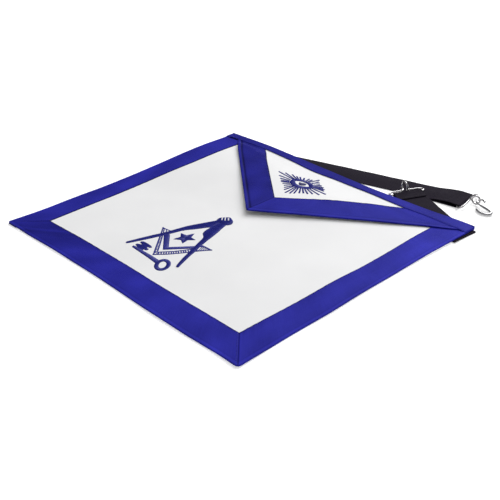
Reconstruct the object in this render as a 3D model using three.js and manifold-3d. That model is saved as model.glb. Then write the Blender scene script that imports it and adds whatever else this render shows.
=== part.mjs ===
// Lodge apron of white imitation leather with blue ribbon borders, lying face up on a flat surface.
// A triangular flap hangs from the waist over the body, and two webbing straps are sewn behind the
// waist corners and folded back under the apron. Their ends stick out above the waist, the short one
// over the long one, and each holds a bent wire bail. A snake hook hangs in the long strap's bail.
//
// Millimetres. X runs along the bottom edge, Y up the apron towards the waist, Z up from the surface.
// The apron's bottom left corner is at X 0, Y 0 while the pieces are made, and the whole group is
// moved at the end so that the middle of its outline is at the origin.

import * as THREE from 'three';
import { mergeVertices } from 'three/addons/utils/BufferGeometryUtils.js';
import Module from 'manifold-3d';

// ---------------------------------------------------------------- driving sizes
const WIDTH = 406.4;            // 16 in along the waist and the bottom edge
const HEIGHT = 355.6;           // 14 in from the waist to the bottom edge
const LEATHER = 1.0;            // imitation leather of the body and the flap
const RIBBON = 1.0;             // border ribbon
const WEBBING = 1.0;            // strap webbing
const GAP = 0.25;               // between two pieces that lie on each other
const MITRE_GAP = 0.3;          // between two ribbons at a mitred corner
const BORDER_WIDTH = 36;        // visible ribbon width on the body and the flap
const BINDING_FRONT = 18;       // waist binding, front leg
const BINDING_BACK = 5;         // waist binding, back leg
const STRAP_WIDTH = 36.5;       // webbing sold as 1 1/2 in
const WIRE_RADIUS = 1.1;        // wire of the two bails
const RING_RADIUS = 5.5;        // middle line of the eye ring in each bail
const HOOK_RADIUS = 1.35;       // cast snake hook, half its thickness
const THREAD = 0.6;             // thickness of the embroidery

const HALF = LEATHER / 2;                        // half the leather, from its middle surface
const RIBBON_LOW = HALF + GAP;                   // underside of a ribbon above the middle surface
const RIBBON_TOP = RIBBON_LOW + RIBBON;
const EDGE = RIBBON + GAP;                       // the leather's edge lies this far inside the ribbon
const ROOT_RISE = LEATHER + GAP;                 // flap's middle surface above the body's, at the waist
const BIND_LOW = RIBBON_LOW + ROOT_RISE;         // underside of the binding's front leg
const BIND_TOP = BIND_LOW + RIBBON;

const white = new THREE.MeshStandardMaterial({ color: 0xe9e9ec, roughness: 0.55, metalness: 0 });
const blue = new THREE.MeshStandardMaterial({ color: 0x2f2e9c, roughness: 0.62, metalness: 0 });
const thread = new THREE.MeshStandardMaterial({ color: 0x22277f, roughness: 0.5, metalness: 0 });
const black = new THREE.MeshStandardMaterial({ color: 0x29252f, roughness: 0.85, metalness: 0 });
const steel = new THREE.MeshStandardMaterial({ color: 0xc9c9cc, roughness: 0.18, metalness: 1 });

// ---------------------------------------------------------------- small helpers
const clamp = (t, a = 0, b = 1) => Math.min(b, Math.max(a, t));
const smooth = (t) => { const k = clamp(t); return k * k * (3 - 2 * k); };
const lerp = (a, b, t) => a + (b - a) * t;
const rad = (deg) => deg * Math.PI / 180;

// cubic through the rows of a table, read by its column key
function along(table, key, value, column) {
  const n = table.length;
  if (value <= table[0][key]) return table[0][column];
  if (value >= table[n - 1][key]) return table[n - 1][column];
  let i = 0;
  while (table[i + 1][key] < value) i++;
  const a = table[Math.max(i - 1, 0)], b = table[i], c = table[i + 1], d = table[Math.min(i + 2, n - 1)];
  const step = c[key] - b[key], t = (value - b[key]) / step;
  const mb = (c[column] - a[column]) / (c[key] - a[key]) * step;
  const mc = (d[column] - b[column]) / (d[key] - b[key]) * step;
  return (2 * t ** 3 - 3 * t * t + 1) * b[column] + (t ** 3 - 2 * t * t + t) * mb
    + (-2 * t ** 3 + 3 * t * t) * c[column] + (t ** 3 - t * t) * mc;
}

// straight lines between the rows of a table
function between(table, key, value, column) {
  const i = Math.max(table.findIndex((row) => row[key] >= value), 1);
  const a = table[i - 1], b = table[i];
  return lerp(a[column], b[column], clamp((value - a[key]) / (b[key] - a[key])));
}

function solid(name, geometry, material) {
  let g = geometry.clone();
  g.deleteAttribute('normal');
  g.deleteAttribute('uv');
  g = mergeVertices(g, 1e-4);
  g.computeVertexNormals();
  const mesh = new THREE.Mesh(g, material);
  mesh.name = name;
  return mesh;
}

function facesOut(positions, index) {
  let volume = 0;
  const p = (i) => new THREE.Vector3(positions[3 * i], positions[3 * i + 1], positions[3 * i + 2]);
  for (let i = 0; i < index.length; i += 3) {
    volume += p(index[i]).dot(p(index[i + 1]).cross(p(index[i + 2])));
  }
  if (volume < 0) {
    for (let i = 0; i < index.length; i += 3) [index[i + 1], index[i + 2]] = [index[i + 2], index[i + 1]];
  }
  const g = new THREE.BufferGeometry();
  g.setAttribute('position', new THREE.Float32BufferAttribute(positions, 3));
  g.setIndex(index);
  return g;
}

// closed body through rings of equal length; profile gives the ring's own 2D outline for the two ends,
// and ends, where given, the triangles that close them
function loft(rings, profile, ends = null) {
  const n = profile.length, positions = [], index = [];
  for (const ring of rings) for (const p of ring) positions.push(p[0], p[1], p[2]);
  for (let i = 0; i + 1 < rings.length; i++) {
    for (let j = 0; j < n; j++) {
      const k = (j + 1) % n, a = i * n + j, b = i * n + k, c = b + n, d = a + n;
      index.push(a, b, c, a, c, d);
    }
  }
  const flat = profile.map((p) => new THREE.Vector2(p[0], p[1]));
  const turn = Math.sign(THREE.ShapeUtils.area(flat));
  for (const [a, b, c] of ends ?? THREE.ShapeUtils.triangulateShape(flat, [])) {
    const same = Math.sign(THREE.ShapeUtils.area([flat[a], flat[b], flat[c]])) === turn;
    const [u, v, w] = same ? [a, b, c] : [a, c, b];
    const m = (rings.length - 1) * n;
    index.push(w, v, u, m + u, m + v, m + w);
  }
  return facesOut(positions, index);
}

// closed sheet from a grid of top and bottom points
function sheet(rows, top, bottom) {
  const nj = rows.length, ni = rows[0].length, positions = [], index = [];
  for (const height of [top, bottom]) for (const row of rows) for (const [x, y] of row) positions.push(x, y, height(x, y));
  const at = (layer, j, i) => layer * nj * ni + j * ni + i;
  for (let j = 0; j + 1 < nj; j++) {
    for (let i = 0; i + 1 < ni; i++) {
      index.push(at(0, j, i), at(0, j, i + 1), at(0, j + 1, i + 1), at(0, j, i), at(0, j + 1, i + 1), at(0, j + 1, i));
      index.push(at(1, j, i), at(1, j + 1, i + 1), at(1, j, i + 1), at(1, j, i), at(1, j + 1, i), at(1, j + 1, i + 1));
    }
  }
  const rim = [];
  for (let i = 0; i < ni - 1; i++) rim.push([0, i]);
  for (let j = 0; j < nj - 1; j++) rim.push([j, ni - 1]);
  for (let i = ni - 1; i > 0; i--) rim.push([nj - 1, i]);
  for (let j = nj - 1; j > 0; j--) rim.push([j, 0]);
  rim.forEach(([j, i], k) => {
    const [q, p] = rim[(k + 1) % rim.length];
    index.push(at(1, j, i), at(1, q, p), at(0, q, p), at(1, j, i), at(0, q, p), at(0, j, i));
  });
  return facesOut(positions, index);
}

// ---------------------------------------------------------------- how the apron lies
// the folded straps hold the waist up, most at the left corner
const WAIST_LIFT = [
  { x: 0, lift: 9.2 }, { x: 40, lift: 9.4 }, { x: 85, lift: 9.6 }, { x: 133, lift: 7.8 }, { x: 188, lift: 5.6 },
  { x: 231, lift: 4.3 }, { x: 264, lift: 3.8 }, { x: 293, lift: 4.0 }, { x: 325, lift: 4.0 }, { x: 350, lift: 3.1 },
  { x: 370, lift: 2.65 }, { x: 406.4, lift: 2.6 },
];
const RISE_LEFT = 120, RISE_INSIDE = 190, RISE_END = 310;      // where the body leaves the surface
// places where the edge curls up a little from the surface
const CURLS = [
  { x: 0, y: 0, reach: 62, lift: 1.3 }, { x: 406.4, y: 0, reach: 46, lift: 0.9 }, { x: 96, y: 0, reach: 60, lift: 0.6 },
  { x: 300, y: 0, reach: 60, lift: 0.7 }, { x: 406.4, y: 150, reach: 70, lift: 0.8 },
];
function bodyMid(x, y) {
  const start = lerp(RISE_LEFT, RISE_INSIDE, smooth(x / 120));
  let z = HALF + along(WAIST_LIFT, 'x', x, 'lift') * smooth((y - start) / (RISE_END - start));
  for (const c of CURLS) {
    const d = Math.hypot(x - c.x, y - c.y) / c.reach;
    if (d < 1) z += c.lift * (1 - d * d) ** 2;
  }
  return z;
}

// the flap is a nearly flat triangle that leaves the binding, stands off the body and falls to its tip
const FLAP = {
  tip: [194.9, 207.0], left: [33.5, 334.3], right: [393.0, 334.3],   // two free edges, at the binding
  level: 8.1, slopeX: -0.0333, slopeY: 0.0276,                       // middle surface of its flat part
  rootTop: HEIGHT - 2.2, free: HEIGHT - BINDING_FRONT - GAP, flat: 321.5,
};
function flapMid(x, y) {
  const root = bodyMid(x, Math.max(y, FLAP.free)) + ROOT_RISE;
  if (y >= FLAP.free) return root;
  const plane = FLAP.level + FLAP.slopeX * x + FLAP.slopeY * y;
  const bed = bodyMid(x, y) + RIBBON_TOP + 0.5 + HALF;               // rests on the right border at its end
  const soft = 0.3, over = (bed - plane) / soft;
  const free = plane + (over > 20 ? over * soft : soft * Math.log(1 + Math.exp(over)));
  return lerp(free, root, smooth((y - FLAP.flat) / (FLAP.free - FLAP.flat)));
}

// ---------------------------------------------------------------- leather body
const inner = (a, b, n) => Array.from({ length: n + 1 }, (_, i) => lerp(a, b, i / n));
const panelRows = inner(EDGE, HEIGHT - EDGE, 26).map((y) => inner(EDGE, WIDTH - EDGE, 20).map((x) => [x, y]));
const pieces = [];
pieces.push(solid('apron_panel', sheet(panelRows, (x, y) => bodyMid(x, y) + HALF, (x, y) => bodyMid(x, y) - HALF), white));

// ---------------------------------------------------------------- border ribbons
// ribbon outline: v inwards from the outer fold, w above the leather's middle surface
const RIBBON_OUTLINE = [
  { v: BORDER_WIDTH, w: RIBBON_LOW }, { v: BORDER_WIDTH, w: RIBBON_TOP }, { v: 24, w: RIBBON_TOP }, { v: 12, w: RIBBON_TOP },
  { v: 0.45, w: RIBBON_TOP }, { v: 0, w: RIBBON_TOP - 0.45 }, { v: 0, w: -HALF }, { v: RIBBON, w: -HALF },
  { v: RIBBON, w: RIBBON_LOW }, { v: 12, w: RIBBON_LOW }, { v: 24, w: RIBBON_LOW },
];
const RIBBON_ENDS = [[0, 1, 2], [0, 2, 10], [10, 2, 3], [10, 3, 9], [9, 3, 4], [9, 4, 8], [8, 4, 5], [8, 5, 6], [8, 6, 7]];
// place(v, s) gives X, Y on the ribbon, v inwards and s from 0 to 1 along it
function ribbon(name, place, mid, steps) {
  const rings = inner(0, 1, steps).map((s) => RIBBON_OUTLINE.map(({ v, w }) => {
    const [x, y] = place(v, s);
    return [x, y, mid(x, y) + w];
  }));
  return solid(name, loft(rings, RIBBON_OUTLINE.map(({ v, w }) => [v, w]), RIBBON_ENDS), blue);
}
const SIDE_END = HEIGHT - BINDING_FRONT - GAP;
const cut = MITRE_GAP / 2;
// top ends of the side ribbons, cut back where the flap starts over them
const LEFT_TOP = [{ v: 0, y: SIDE_END }, { v: 24, y: SIDE_END }, { v: 36, y: 324 }];
const RIGHT_TOP = [{ v: 0, y: SIDE_END }, { v: 1, y: SIDE_END }, { v: 12, y: 327.5 }, { v: 24, y: 324.5 }, { v: 36, y: 324 }];
pieces.push(ribbon('border_left', (v, s) => [v, lerp(v + cut, along(LEFT_TOP, 'v', v, 'y'), s)], bodyMid, 26));
pieces.push(ribbon('border_right', (v, s) => [WIDTH - v, lerp(v + cut, along(RIGHT_TOP, 'v', v, 'y'), s)], bodyMid, 26));
pieces.push(ribbon('border_bottom', (v, s) => [lerp(v + cut, WIDTH - v - cut, s), v], bodyMid, 22));

// ---------------------------------------------------------------- waist binding
const BINDING_OUTLINE = [
  { v: BINDING_FRONT, w: BIND_LOW }, { v: BINDING_FRONT, w: BIND_TOP }, { v: 9, w: BIND_TOP }, { v: 0.8, w: BIND_TOP },
  { v: 0, w: BIND_TOP - 0.8 }, { v: 0, w: -RIBBON_TOP + 0.8 }, { v: 0.8, w: -RIBBON_TOP }, { v: BINDING_BACK, w: -RIBBON_TOP },
  { v: BINDING_BACK, w: -RIBBON_LOW }, { v: RIBBON, w: -RIBBON_LOW }, { v: RIBBON, w: BIND_LOW }, { v: 9, w: BIND_LOW },
];
const bindingRings = inner(0, WIDTH, 24).map((x) => BINDING_OUTLINE.map(({ v, w }) => [x, HEIGHT - v, bodyMid(x, HEIGHT - v) + w]));
pieces.push(solid('waist_binding', loft(bindingRings, BINDING_OUTLINE.map(({ v, w }) => [v, w])), blue));

// ---------------------------------------------------------------- flap
const [tx, ty] = FLAP.tip;
const leftDir = new THREE.Vector2(FLAP.left[0] - tx, FLAP.left[1] - ty).normalize();
const rightDir = new THREE.Vector2(FLAP.right[0] - tx, FLAP.right[1] - ty).normalize();
const leftIn = new THREE.Vector2(leftDir.y, -leftDir.x);           // inwards from the left edge
const rightIn = new THREE.Vector2(-rightDir.y, rightDir.x);        // inwards from the right edge
// point at distance v inside both edges: solves m.leftIn = m.rightIn = 1
const det = leftIn.x * rightIn.y - leftIn.y * rightIn.x;
const mitre = new THREE.Vector2((rightIn.y - leftIn.y) / det, (leftIn.x - rightIn.x) / det);
function edgePoint(dir, inward, v, y) {                            // on the line v inside an edge, at height y
  const px = tx + inward.x * v, py = ty + inward.y * v;
  return [px + dir.x * (y - py) / dir.y, y];
}
const flapRows = [];
const tipY = ty + mitre.y * EDGE + 1.2;
for (const y of [...inner(FLAP.rootTop, FLAP.free, 2), ...inner(FLAP.free, FLAP.flat, 6).slice(1), ...inner(FLAP.flat, tipY, 11).slice(1)]) {
  const a = Math.max(edgePoint(leftDir, leftIn, EDGE, y)[0], 16), b = Math.min(edgePoint(rightDir, rightIn, EDGE, y)[0], WIDTH - 12);
  flapRows.push(inner(a, b, 18).map((x) => [x, y]));
}
pieces.push(solid('flap_panel', sheet(flapRows, (x, y) => flapMid(x, y) + HALF, (x, y) => flapMid(x, y) - HALF), white));

const flapTop = FLAP.free - 0.1;
function flapRibbon(dir, inward) {
  return (v, s) => {
    const far = edgePoint(dir, inward, v, flapTop);
    const near = [tx + mitre.x * v + dir.x * MITRE_GAP, ty + mitre.y * v + dir.y * MITRE_GAP];
    const t = s < 0.3 ? s / 3 : lerp(0.1, 1, (s - 0.3) / 0.7);                 // closer sections near the binding
    return [lerp(far[0], near[0], t), lerp(far[1], near[1], t)];
  };
}
pieces.push(ribbon('flap_border_left', flapRibbon(leftDir, leftIn), flapMid, 26));
pieces.push(ribbon('flap_border_right', flapRibbon(rightDir, rightIn), flapMid, 28));

// ---------------------------------------------------------------- straps
// each row is a place on the strap's middle line: x, y, z and the direction of its far edge in degrees
function strap(name, stations) {
  const h = STRAP_WIDTH / 2, t = WEBBING / 2;
  const p = stations.map((s) => new THREE.Vector3(s.x, s.y, s.z));
  const rings = stations.map((s, i) => {
    const a = p[Math.max(i - 1, 0)], b = p[Math.min(i + 1, p.length - 1)];
    const across = new THREE.Vector3(Math.cos(rad(s.edge)), Math.sin(rad(s.edge)), 0);
    const normal = new THREE.Vector3().subVectors(b, a).cross(across).normalize();
    return [[-h, -t], [h, -t], [h, t], [-h, t]].map(([u, w]) => p[i].clone().addScaledVector(across, u).addScaledVector(normal, w).toArray());
  });
  return solid(name, loft(rings, [[-h, -t], [h, -t], [h, t], [-h, t]]), black);
}
// half turn from (x, y, z) to the height zTo, bulging in the direction of heading
function halfTurn({ x, y, z, zTo, heading, edgeFrom, edgeTo, steps = 8 }) {
  const r = Math.abs(zTo - z) / 2, mid = (z + zTo) / 2, dir = Math.sign(z - zTo);
  return inner(0, 180, steps).map((phi) => ({
    x: x + Math.cos(rad(heading)) * r * Math.sin(rad(phi)), y: y + Math.sin(rad(heading)) * r * Math.sin(rad(phi)),
    z: mid + dir * r * Math.cos(rad(phi)), edge: lerp(edgeFrom, edgeTo, phi / 180),
  }));
}
const LOW = WEBBING / 2;                                   // middle of webbing that lies on the surface
const TUNNEL = WIRE_RADIUS + GAP + WEBBING / 2;            // middle of webbing folded round a wire
const sewn = (x, y) => bodyMid(x, y) - HALF - GAP - WEBBING / 2;

// long strap: sewn behind the left corner, folded back at it, out behind the waist to its hem
const SEW_Y = 331;
const LONG_END = { x: 358.5, y: 404.8, heading: 8 };
const longRun = [
  { x: 9, y: 331.6 }, { x: 60, y: 344.6 }, { x: 120, y: 359.4 }, { x: 180, y: 372.7 }, { x: 225, y: 382.5 },
  { x: 265, y: 391.0 }, { x: 300, y: 398.2 }, { x: 318, y: 401.4 }, { x: 331, y: 403.0 }, { x: 345, y: 404.2 },
];
const longEdge = (x) => 90 + along([{ x: 0, e: 13 }, { x: 225, e: 11.5 }, { x: 300, e: 9.5 }, { x: 358.5, e: 8 }], 'x', x, 'e');
const longHeight = [
  { x: 0, z: LOW }, { x: 318, z: LOW }, { x: 331, z: 1.9 }, { x: 345, z: 3.5 }, { x: 358.5, z: LOW + 2 * TUNNEL },
];
const longStations = [
  ...[38, 24, 11].map((x) => ({ x, y: SEW_Y, z: sewn(x, SEW_Y), edge: 90 })),
  ...halfTurn({ x: 8.5, y: 331.3, z: sewn(8.5, SEW_Y), zTo: LOW, heading: 180, edgeFrom: 91, edgeTo: 102.5 }),
  ...longRun.slice(1).flatMap((b, i) => inner(0, 1, 2).slice(i ? 1 : 0).map((t) => {
    const a = longRun[i], x = lerp(a.x, b.x, t);
    return { x, y: along(longRun, 'x', x, 'y'), z: between(longHeight, 'x', x, 'z'), edge: longEdge(x) };
  })).slice(1),
  ...halfTurn({ ...LONG_END, z: LOW + 2 * TUNNEL, zTo: LOW, edgeFrom: 98, edgeTo: 98 }),
  { x: 353, y: 404.1, z: LOW, edge: 98 }, { x: 346, y: 403.3, z: LOW, edge: 98.3 }, { x: 335, y: 402.1, z: LOW, edge: 98.7 },
];
pieces.push(strap('strap_long', longStations));

// short strap: sewn behind the right corner, folded just past the side edge, its hem over the long strap
const SHORT_END = { x: 296.8, y: 376.3, heading: 153 };
const SHORT_HIGH = 1.8;                                    // middle of the webbing that lies on the long strap
const shortRun = [
  { x: 409.6, y: 331.0, z: LOW, edge: 84 }, { x: 396, y: 333.4, z: LOW, edge: 78 }, { x: 380, y: 338.0, z: LOW, edge: 74 },
  { x: 362, y: 345.0, z: LOW, edge: 69 }, { x: 348, y: 351.6, z: 0.7, edge: 66 }, { x: 336, y: 357.4, z: 1.5, edge: 64.5 },
  { x: 324, y: 363.2, z: SHORT_HIGH, edge: 63.5 }, { x: 310, y: 369.8, z: SHORT_HIGH, edge: 63 },
];
const back = (end, s) => ({ x: end.x - Math.cos(rad(end.heading)) * s, y: end.y - Math.sin(rad(end.heading)) * s });
const shortStations = [
  ...[364, 380, 395].map((x) => ({ x, y: SEW_Y, z: sewn(x, SEW_Y), edge: 90 })),
  ...halfTurn({ x: 409.6, y: 331, z: sewn(400, SEW_Y), zTo: LOW, heading: 0, edgeFrom: 90, edgeTo: 84, steps: 6 }),
  ...shortRun.slice(1),
  ...halfTurn({ ...SHORT_END, z: SHORT_HIGH, zTo: SHORT_HIGH + 2 * TUNNEL, edgeFrom: 63, edgeTo: 63 }),
  { ...back(SHORT_END, 4.5), z: SHORT_HIGH + 2.3, edge: 63 }, { ...back(SHORT_END, 9), z: SHORT_HIGH + 1.4, edge: 63 },
];
pieces.push(strap('strap_short', shortStations));

// ---------------------------------------------------------------- bails and hook
function wire(name, points, radius, steps, sides) {
  const path = new THREE.CatmullRomCurve3(points, false, 'centripetal');
  const round = new THREE.Shape(Array.from({ length: sides }, (_, i) => {
    const a = 2 * Math.PI * i / sides;
    return new THREE.Vector2(radius * Math.cos(a), radius * Math.sin(a));
  }));
  return solid(name, new THREE.ExtrudeGeometry(round, { steps, bevelEnabled: false, extrudePath: path }), steel);
}
// half of a bail, from the middle of the hem's tunnel out round the webbing's edge to the front arm:
// u ahead of the tunnel, n to the side, rise as a share of the ring's height over the tunnel
const BAIL_HALF = [
  { u: 0, n: 1.2, rise: 0 }, { u: 0, n: 8, rise: 0 }, { u: 0, n: 17.5, rise: 0 }, { u: 0.5, n: 20.6, rise: 0.02 },
  { u: 2.6, n: 22.2, rise: 0.1 }, { u: 5.2, n: 21.4, rise: 0.22 }, { u: 6.8, n: 18.6, rise: 0.36 }, { u: 7.2, n: 14, rise: 0.52 },
  { u: 7.4, n: 8, rise: 0.76 }, { u: 7.5, n: 4.2, rise: 0.92 },
];
// base: angle of the ring's foot seen from its middle, 180 behind it and 270 under it
function bail({ end, z, foot, rise, base, side }) {
  const ahead = new THREE.Vector3(Math.cos(rad(end.heading)), Math.sin(rad(end.heading)), 0);
  const left = new THREE.Vector3(-ahead.y, ahead.x, 0);
  const at = (u, n, h) => new THREE.Vector3(end.x, end.y, z + h).addScaledVector(ahead, u).addScaledVector(left, n);
  const centreU = foot - RING_RADIUS * Math.cos(rad(base)), centreH = rise - RING_RADIUS * Math.sin(rad(base));
  const first = BAIL_HALF.map((r) => at(r.u, r.n + side * smooth(r.u / 7), r.rise * rise));
  const last = BAIL_HALF.map((r) => at(r.u, -r.n + side * smooth(r.u / 7), r.rise * rise)).reverse();
  const loop = inner(18, 342, 12).map((a) => at(centreU + RING_RADIUS * Math.cos(rad(base + a)), side + lerp(1.75, -1.75, a / 360),
    centreH + RING_RADIUS * Math.sin(rad(base + a))));
  return [...first, ...loop, ...last];
}
const LONG_BAIL = { end: LONG_END, z: LOW + TUNNEL, foot: 7.9, rise: 4.9, base: 180, side: 0.1 };
const SHORT_BAIL = { end: SHORT_END, z: SHORT_HIGH + TUNNEL, foot: 7.4, rise: 0.3, base: 262, side: 0 };
pieces.push(wire('bail_long', bail(LONG_BAIL), WIRE_RADIUS, 88, 8));
pieces.push(wire('bail_short', bail(SHORT_BAIL), WIRE_RADIUS, 88, 8));

// S shaped snake hook: its small curl is closed round the front of the ring, its large bend rests on the surface
const HOOK_ROUTE = [
  { x: 382.3, y: 409.0, z: 6.2 }, { x: 380.6, y: 411.5, z: 6.7 }, { x: 377.2, y: 412.4, z: 7.0 }, { x: 374.1, y: 410.6, z: 6.9 },
  { x: 373.4, y: 407.3, z: 6.6 }, { x: 375.7, y: 404.1, z: 5.9 }, { x: 380.6, y: 403.0, z: 4.6 }, { x: 387.7, y: 402.9, z: 3.0 },
  { x: 394.7, y: 401.6, z: 1.95 }, { x: 399.4, y: 398.4, z: 1.6 }, { x: 400.0, y: 394.1, z: 1.6 }, { x: 396.2, y: 391.0, z: 1.6 },
  { x: 389.4, y: 390.8, z: 1.6 }, { x: 383.2, y: 393.6, z: 1.6 }, { x: 379.6, y: 397.0, z: 1.6 },
];
pieces.push(wire('snake_hook', HOOK_ROUTE.map((r) => new THREE.Vector3(r.x, r.y, r.z)), HOOK_RADIUS, 44, 8));

// ---------------------------------------------------------------- embroidery
const wasm = await Module();
wasm.setup();
function toManifold(geometry) {
  let g = geometry.clone();
  g.deleteAttribute('normal');
  g.deleteAttribute('uv');
  g = mergeVertices(g, 1e-4);
  return new wasm.Manifold(new wasm.Mesh({ numProp: 3, vertProperties: new Float32Array(g.attributes.position.array), triVerts: new Uint32Array(g.index.array) }));
}
function fromManifold(body) {
  const m = body.getMesh(), g = new THREE.BufferGeometry();
  g.setAttribute('position', new THREE.Float32BufferAttribute(m.vertProperties, 3));
  g.setIndex(Array.from(m.triVerts));
  return g;
}
const plate = (outline, holes = []) => {
  const shape = new THREE.Shape(outline.map(([x, y]) => new THREE.Vector2(x, y)));
  shape.holes = holes.map((h) => new THREE.Path(h.map(([x, y]) => new THREE.Vector2(x, y))));
  return new THREE.ExtrudeGeometry(shape, { depth: THREAD, bevelEnabled: false });
};
const ring = (x, y, rx, ry, n) => Array.from({ length: n }, (_, i) => [x + rx * Math.cos(2 * Math.PI * i / n), y + ry * Math.sin(2 * Math.PI * i / n)]);

// the figure stands on its own axis, between the two compass points
const FIGURE = { x: 191.8, y: 68.9, turn: 1.9 };
// the two legs of the compasses in one outline: left leg outside and inside, right leg inside and outside
const COMPASSES = [
  [-8.5, 104], [-14.7, 92], [-20.4, 80], [-24.9, 68], [-27.9, 56], [-31.2, 44], [-38.6, 24], [-44.6, 4], [-44.4, 0.4],
  [-41.4, 0.2], [-39.3, 4], [-30.8, 24], [-23.4, 44], [-19.5, 56], [-13.2, 68], [-4.7, 80], [0, 87],
  [0.6, 80], [3.2, 73], [12.3, 65], [17, 54], [22, 42], [30.4, 22], [39.3, 4], [41, 2.4],
  [43.6, 2.8], [43.9, 4.4], [36.7, 22], [29.6, 42], [24.8, 54], [20.5, 69], [17.5, 80], [13, 92], [9.3, 104],
];
const HEAD = { x: 0.9, y: 110.4, rx: 11.2, ry: 7.4 };
// try square: an inner solid line and an outer ruler whose ends reach past the legs
const LINE = [[-26.3, 39.6], [0.9, 16.9], [24.5, 41.2], [20.4, 45.6], [0.6, 26], [-21.6, 45.4]];
const RULER = [[-42.4, 51.4], [1.7, 2], [26.2, 29.7], [42.6, 51.6], [24, 52.8], [22.6, 39.2], [12, 22.8], [0.6, 10.7], [-24.1, 37.3], [-28.8, 51.6]];
let figure = toManifold(plate(COMPASSES)).add(toManifold(plate(ring(HEAD.x, HEAD.y, HEAD.rx, HEAD.ry, 20))));
for (const outline of [LINE, RULER]) figure = figure.add(toManifold(plate(outline)));
function lay(name, geometry, { x, y, turn }, height) {
  const g = geometry.clone(), p = g.attributes.position, c = Math.cos(rad(turn)), s = Math.sin(rad(turn));
  for (let i = 0; i < p.count; i++) {
    const a = p.getX(i), b = p.getY(i), px = x + a * c - b * s, py = y + a * s + b * c;
    p.setXYZ(i, px, py, height(px, py) + p.getZ(i));
  }
  return solid(name, g, thread);
}
const onBody = () => LEATHER + 0.2;
pieces.push(lay('emblem_square_compasses', fromManifold(figure), FIGURE, onBody));

// plain star between the legs
const STAR = { x: -2, y: 51.5, out: 13.2, in: 6.6 };
const star = Array.from({ length: 10 }, (_, i) => {
  const a = rad(90 + 36 * i), r = i % 2 ? STAR.in : STAR.out;
  return [STAR.x + r * Math.cos(a), STAR.y + r * Math.sin(a)];
});
pieces.push(lay('emblem_star', plate(star), FIGURE, onBody));

// key below the square: oval bow, shaft and a notched bit at its other end
const BOW = { x: 26.9, y: -4.3, turn: -48, out: [12.5, 8.7], in: [6.9, 4.0] };
const oval = ([rx, ry], n) => ring(0, 0, rx, ry, n).map(([x, y]) => [
  BOW.x + x * Math.cos(rad(BOW.turn)) - y * Math.sin(rad(BOW.turn)), BOW.y + x * Math.sin(rad(BOW.turn)) + y * Math.cos(rad(BOW.turn))]);
const bow = toManifold(plate(oval(BOW.out, 24), [oval(BOW.in, 20)]));
const KEY = [
  [-30.4, -1.2], [-21.3, -2.4], [-11.3, -3.5], [0, -4.8], [19, -7.3], [19, -0.6], [0, 1.1], [-11.3, 1.5],
  [-11.3, 3.2], [-10.9, 5.5], [-12, 7.6], [-15, 8], [-14.8, 9.4], [-12.4, 10.2], [-12.3, 13], [-17, 13.9], [-21.3, 13.6], [-24, 12.6],
  [-28, 14.6], [-32.5, 14.8], [-33, 12.6], [-30.6, 10], [-32.6, 7.6], [-32.2, 5], [-29.8, 3.6], [-31.4, 1.4],
];
pieces.push(lay('emblem_key', fromManifold(bow.add(toManifold(plate(KEY)))), FIGURE, onBody));

// open eye with rays, on the flat part of the flap; each ray ends at one of the tips, in order round the eye
const EYE = { x: 195.2, y: 298.6, turn: -1.0 };
const LID = { x: -1.6, y: 0.8, rx: 17.2, ry: 10.0 };
const TIPS = [
  [39.2, 0.9], [31.4, 6.1], [28.7, 10], [23.7, 13.3], [17.6, 16.1], [9.8, 20.6], [3.1, 26.7], [-2.4, 20], [-6.9, 19.4], [-12.4, 16.1],
  [-18, 14.4], [-20.8, 12.2], [-29.7, 12.2], [-39.1, 9.4], [-47.4, 5.5], [-38.5, -2.2], [-31.3, -7.2], [-26.9, -10.5], [-24, -12.8], [-19, -15],
  [-13.6, -17.8], [-9, -21.7], [-4.7, -25.5], [2, -30.5], [7, -27.8], [10.9, -24.4], [14.8, -19.4], [18.7, -16.1], [23.7, -13.9], [28.1, -10],
  [35.3, -6.1],
];
const glory = [];
for (const [u, v] of TIPS) {
  const t = Math.atan2((v - LID.y) / LID.ry, (u - LID.x) / LID.rx);
  const foot = (a) => [LID.x + LID.rx * Math.cos(a), LID.y + LID.ry * Math.sin(a)];
  const [fu, fv] = foot(t), d = Math.hypot(u - fu, v - fv), side = [-(v - fv) / d * 0.6, (u - fu) / d * 0.6];
  glory.push(foot(t - 0.05), [u - side[0], v - side[1]], [u + side[0], v + side[1]], foot(t + 0.05));
}
const onFlap = (x, y) => FLAP.level + FLAP.slopeX * x + FLAP.slopeY * y + HALF + 0.2;
const eyeHole = ring(-1.3, 1.2, 10.6, 4.7, 26);
const pupil = ring(-0.8, 0.4, 4.0, 3.2, 14);
pieces.push(lay('emblem_eye', plate(glory, [eyeHole]), EYE, onFlap));
pieces.push(lay('emblem_pupil', plate(pupil), EYE, onFlap));

// ---------------------------------------------------------------- the whole apron
const apron = new THREE.Group();
const model = new THREE.Group();
pieces.forEach((piece) => model.add(piece));
const box = new THREE.Box3().setFromObject(model);
model.position.set(-(box.min.x + box.max.x) / 2, -(box.min.y + box.max.y) / 2, -box.min.z);
apron.add(model);
export default apron;
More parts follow.
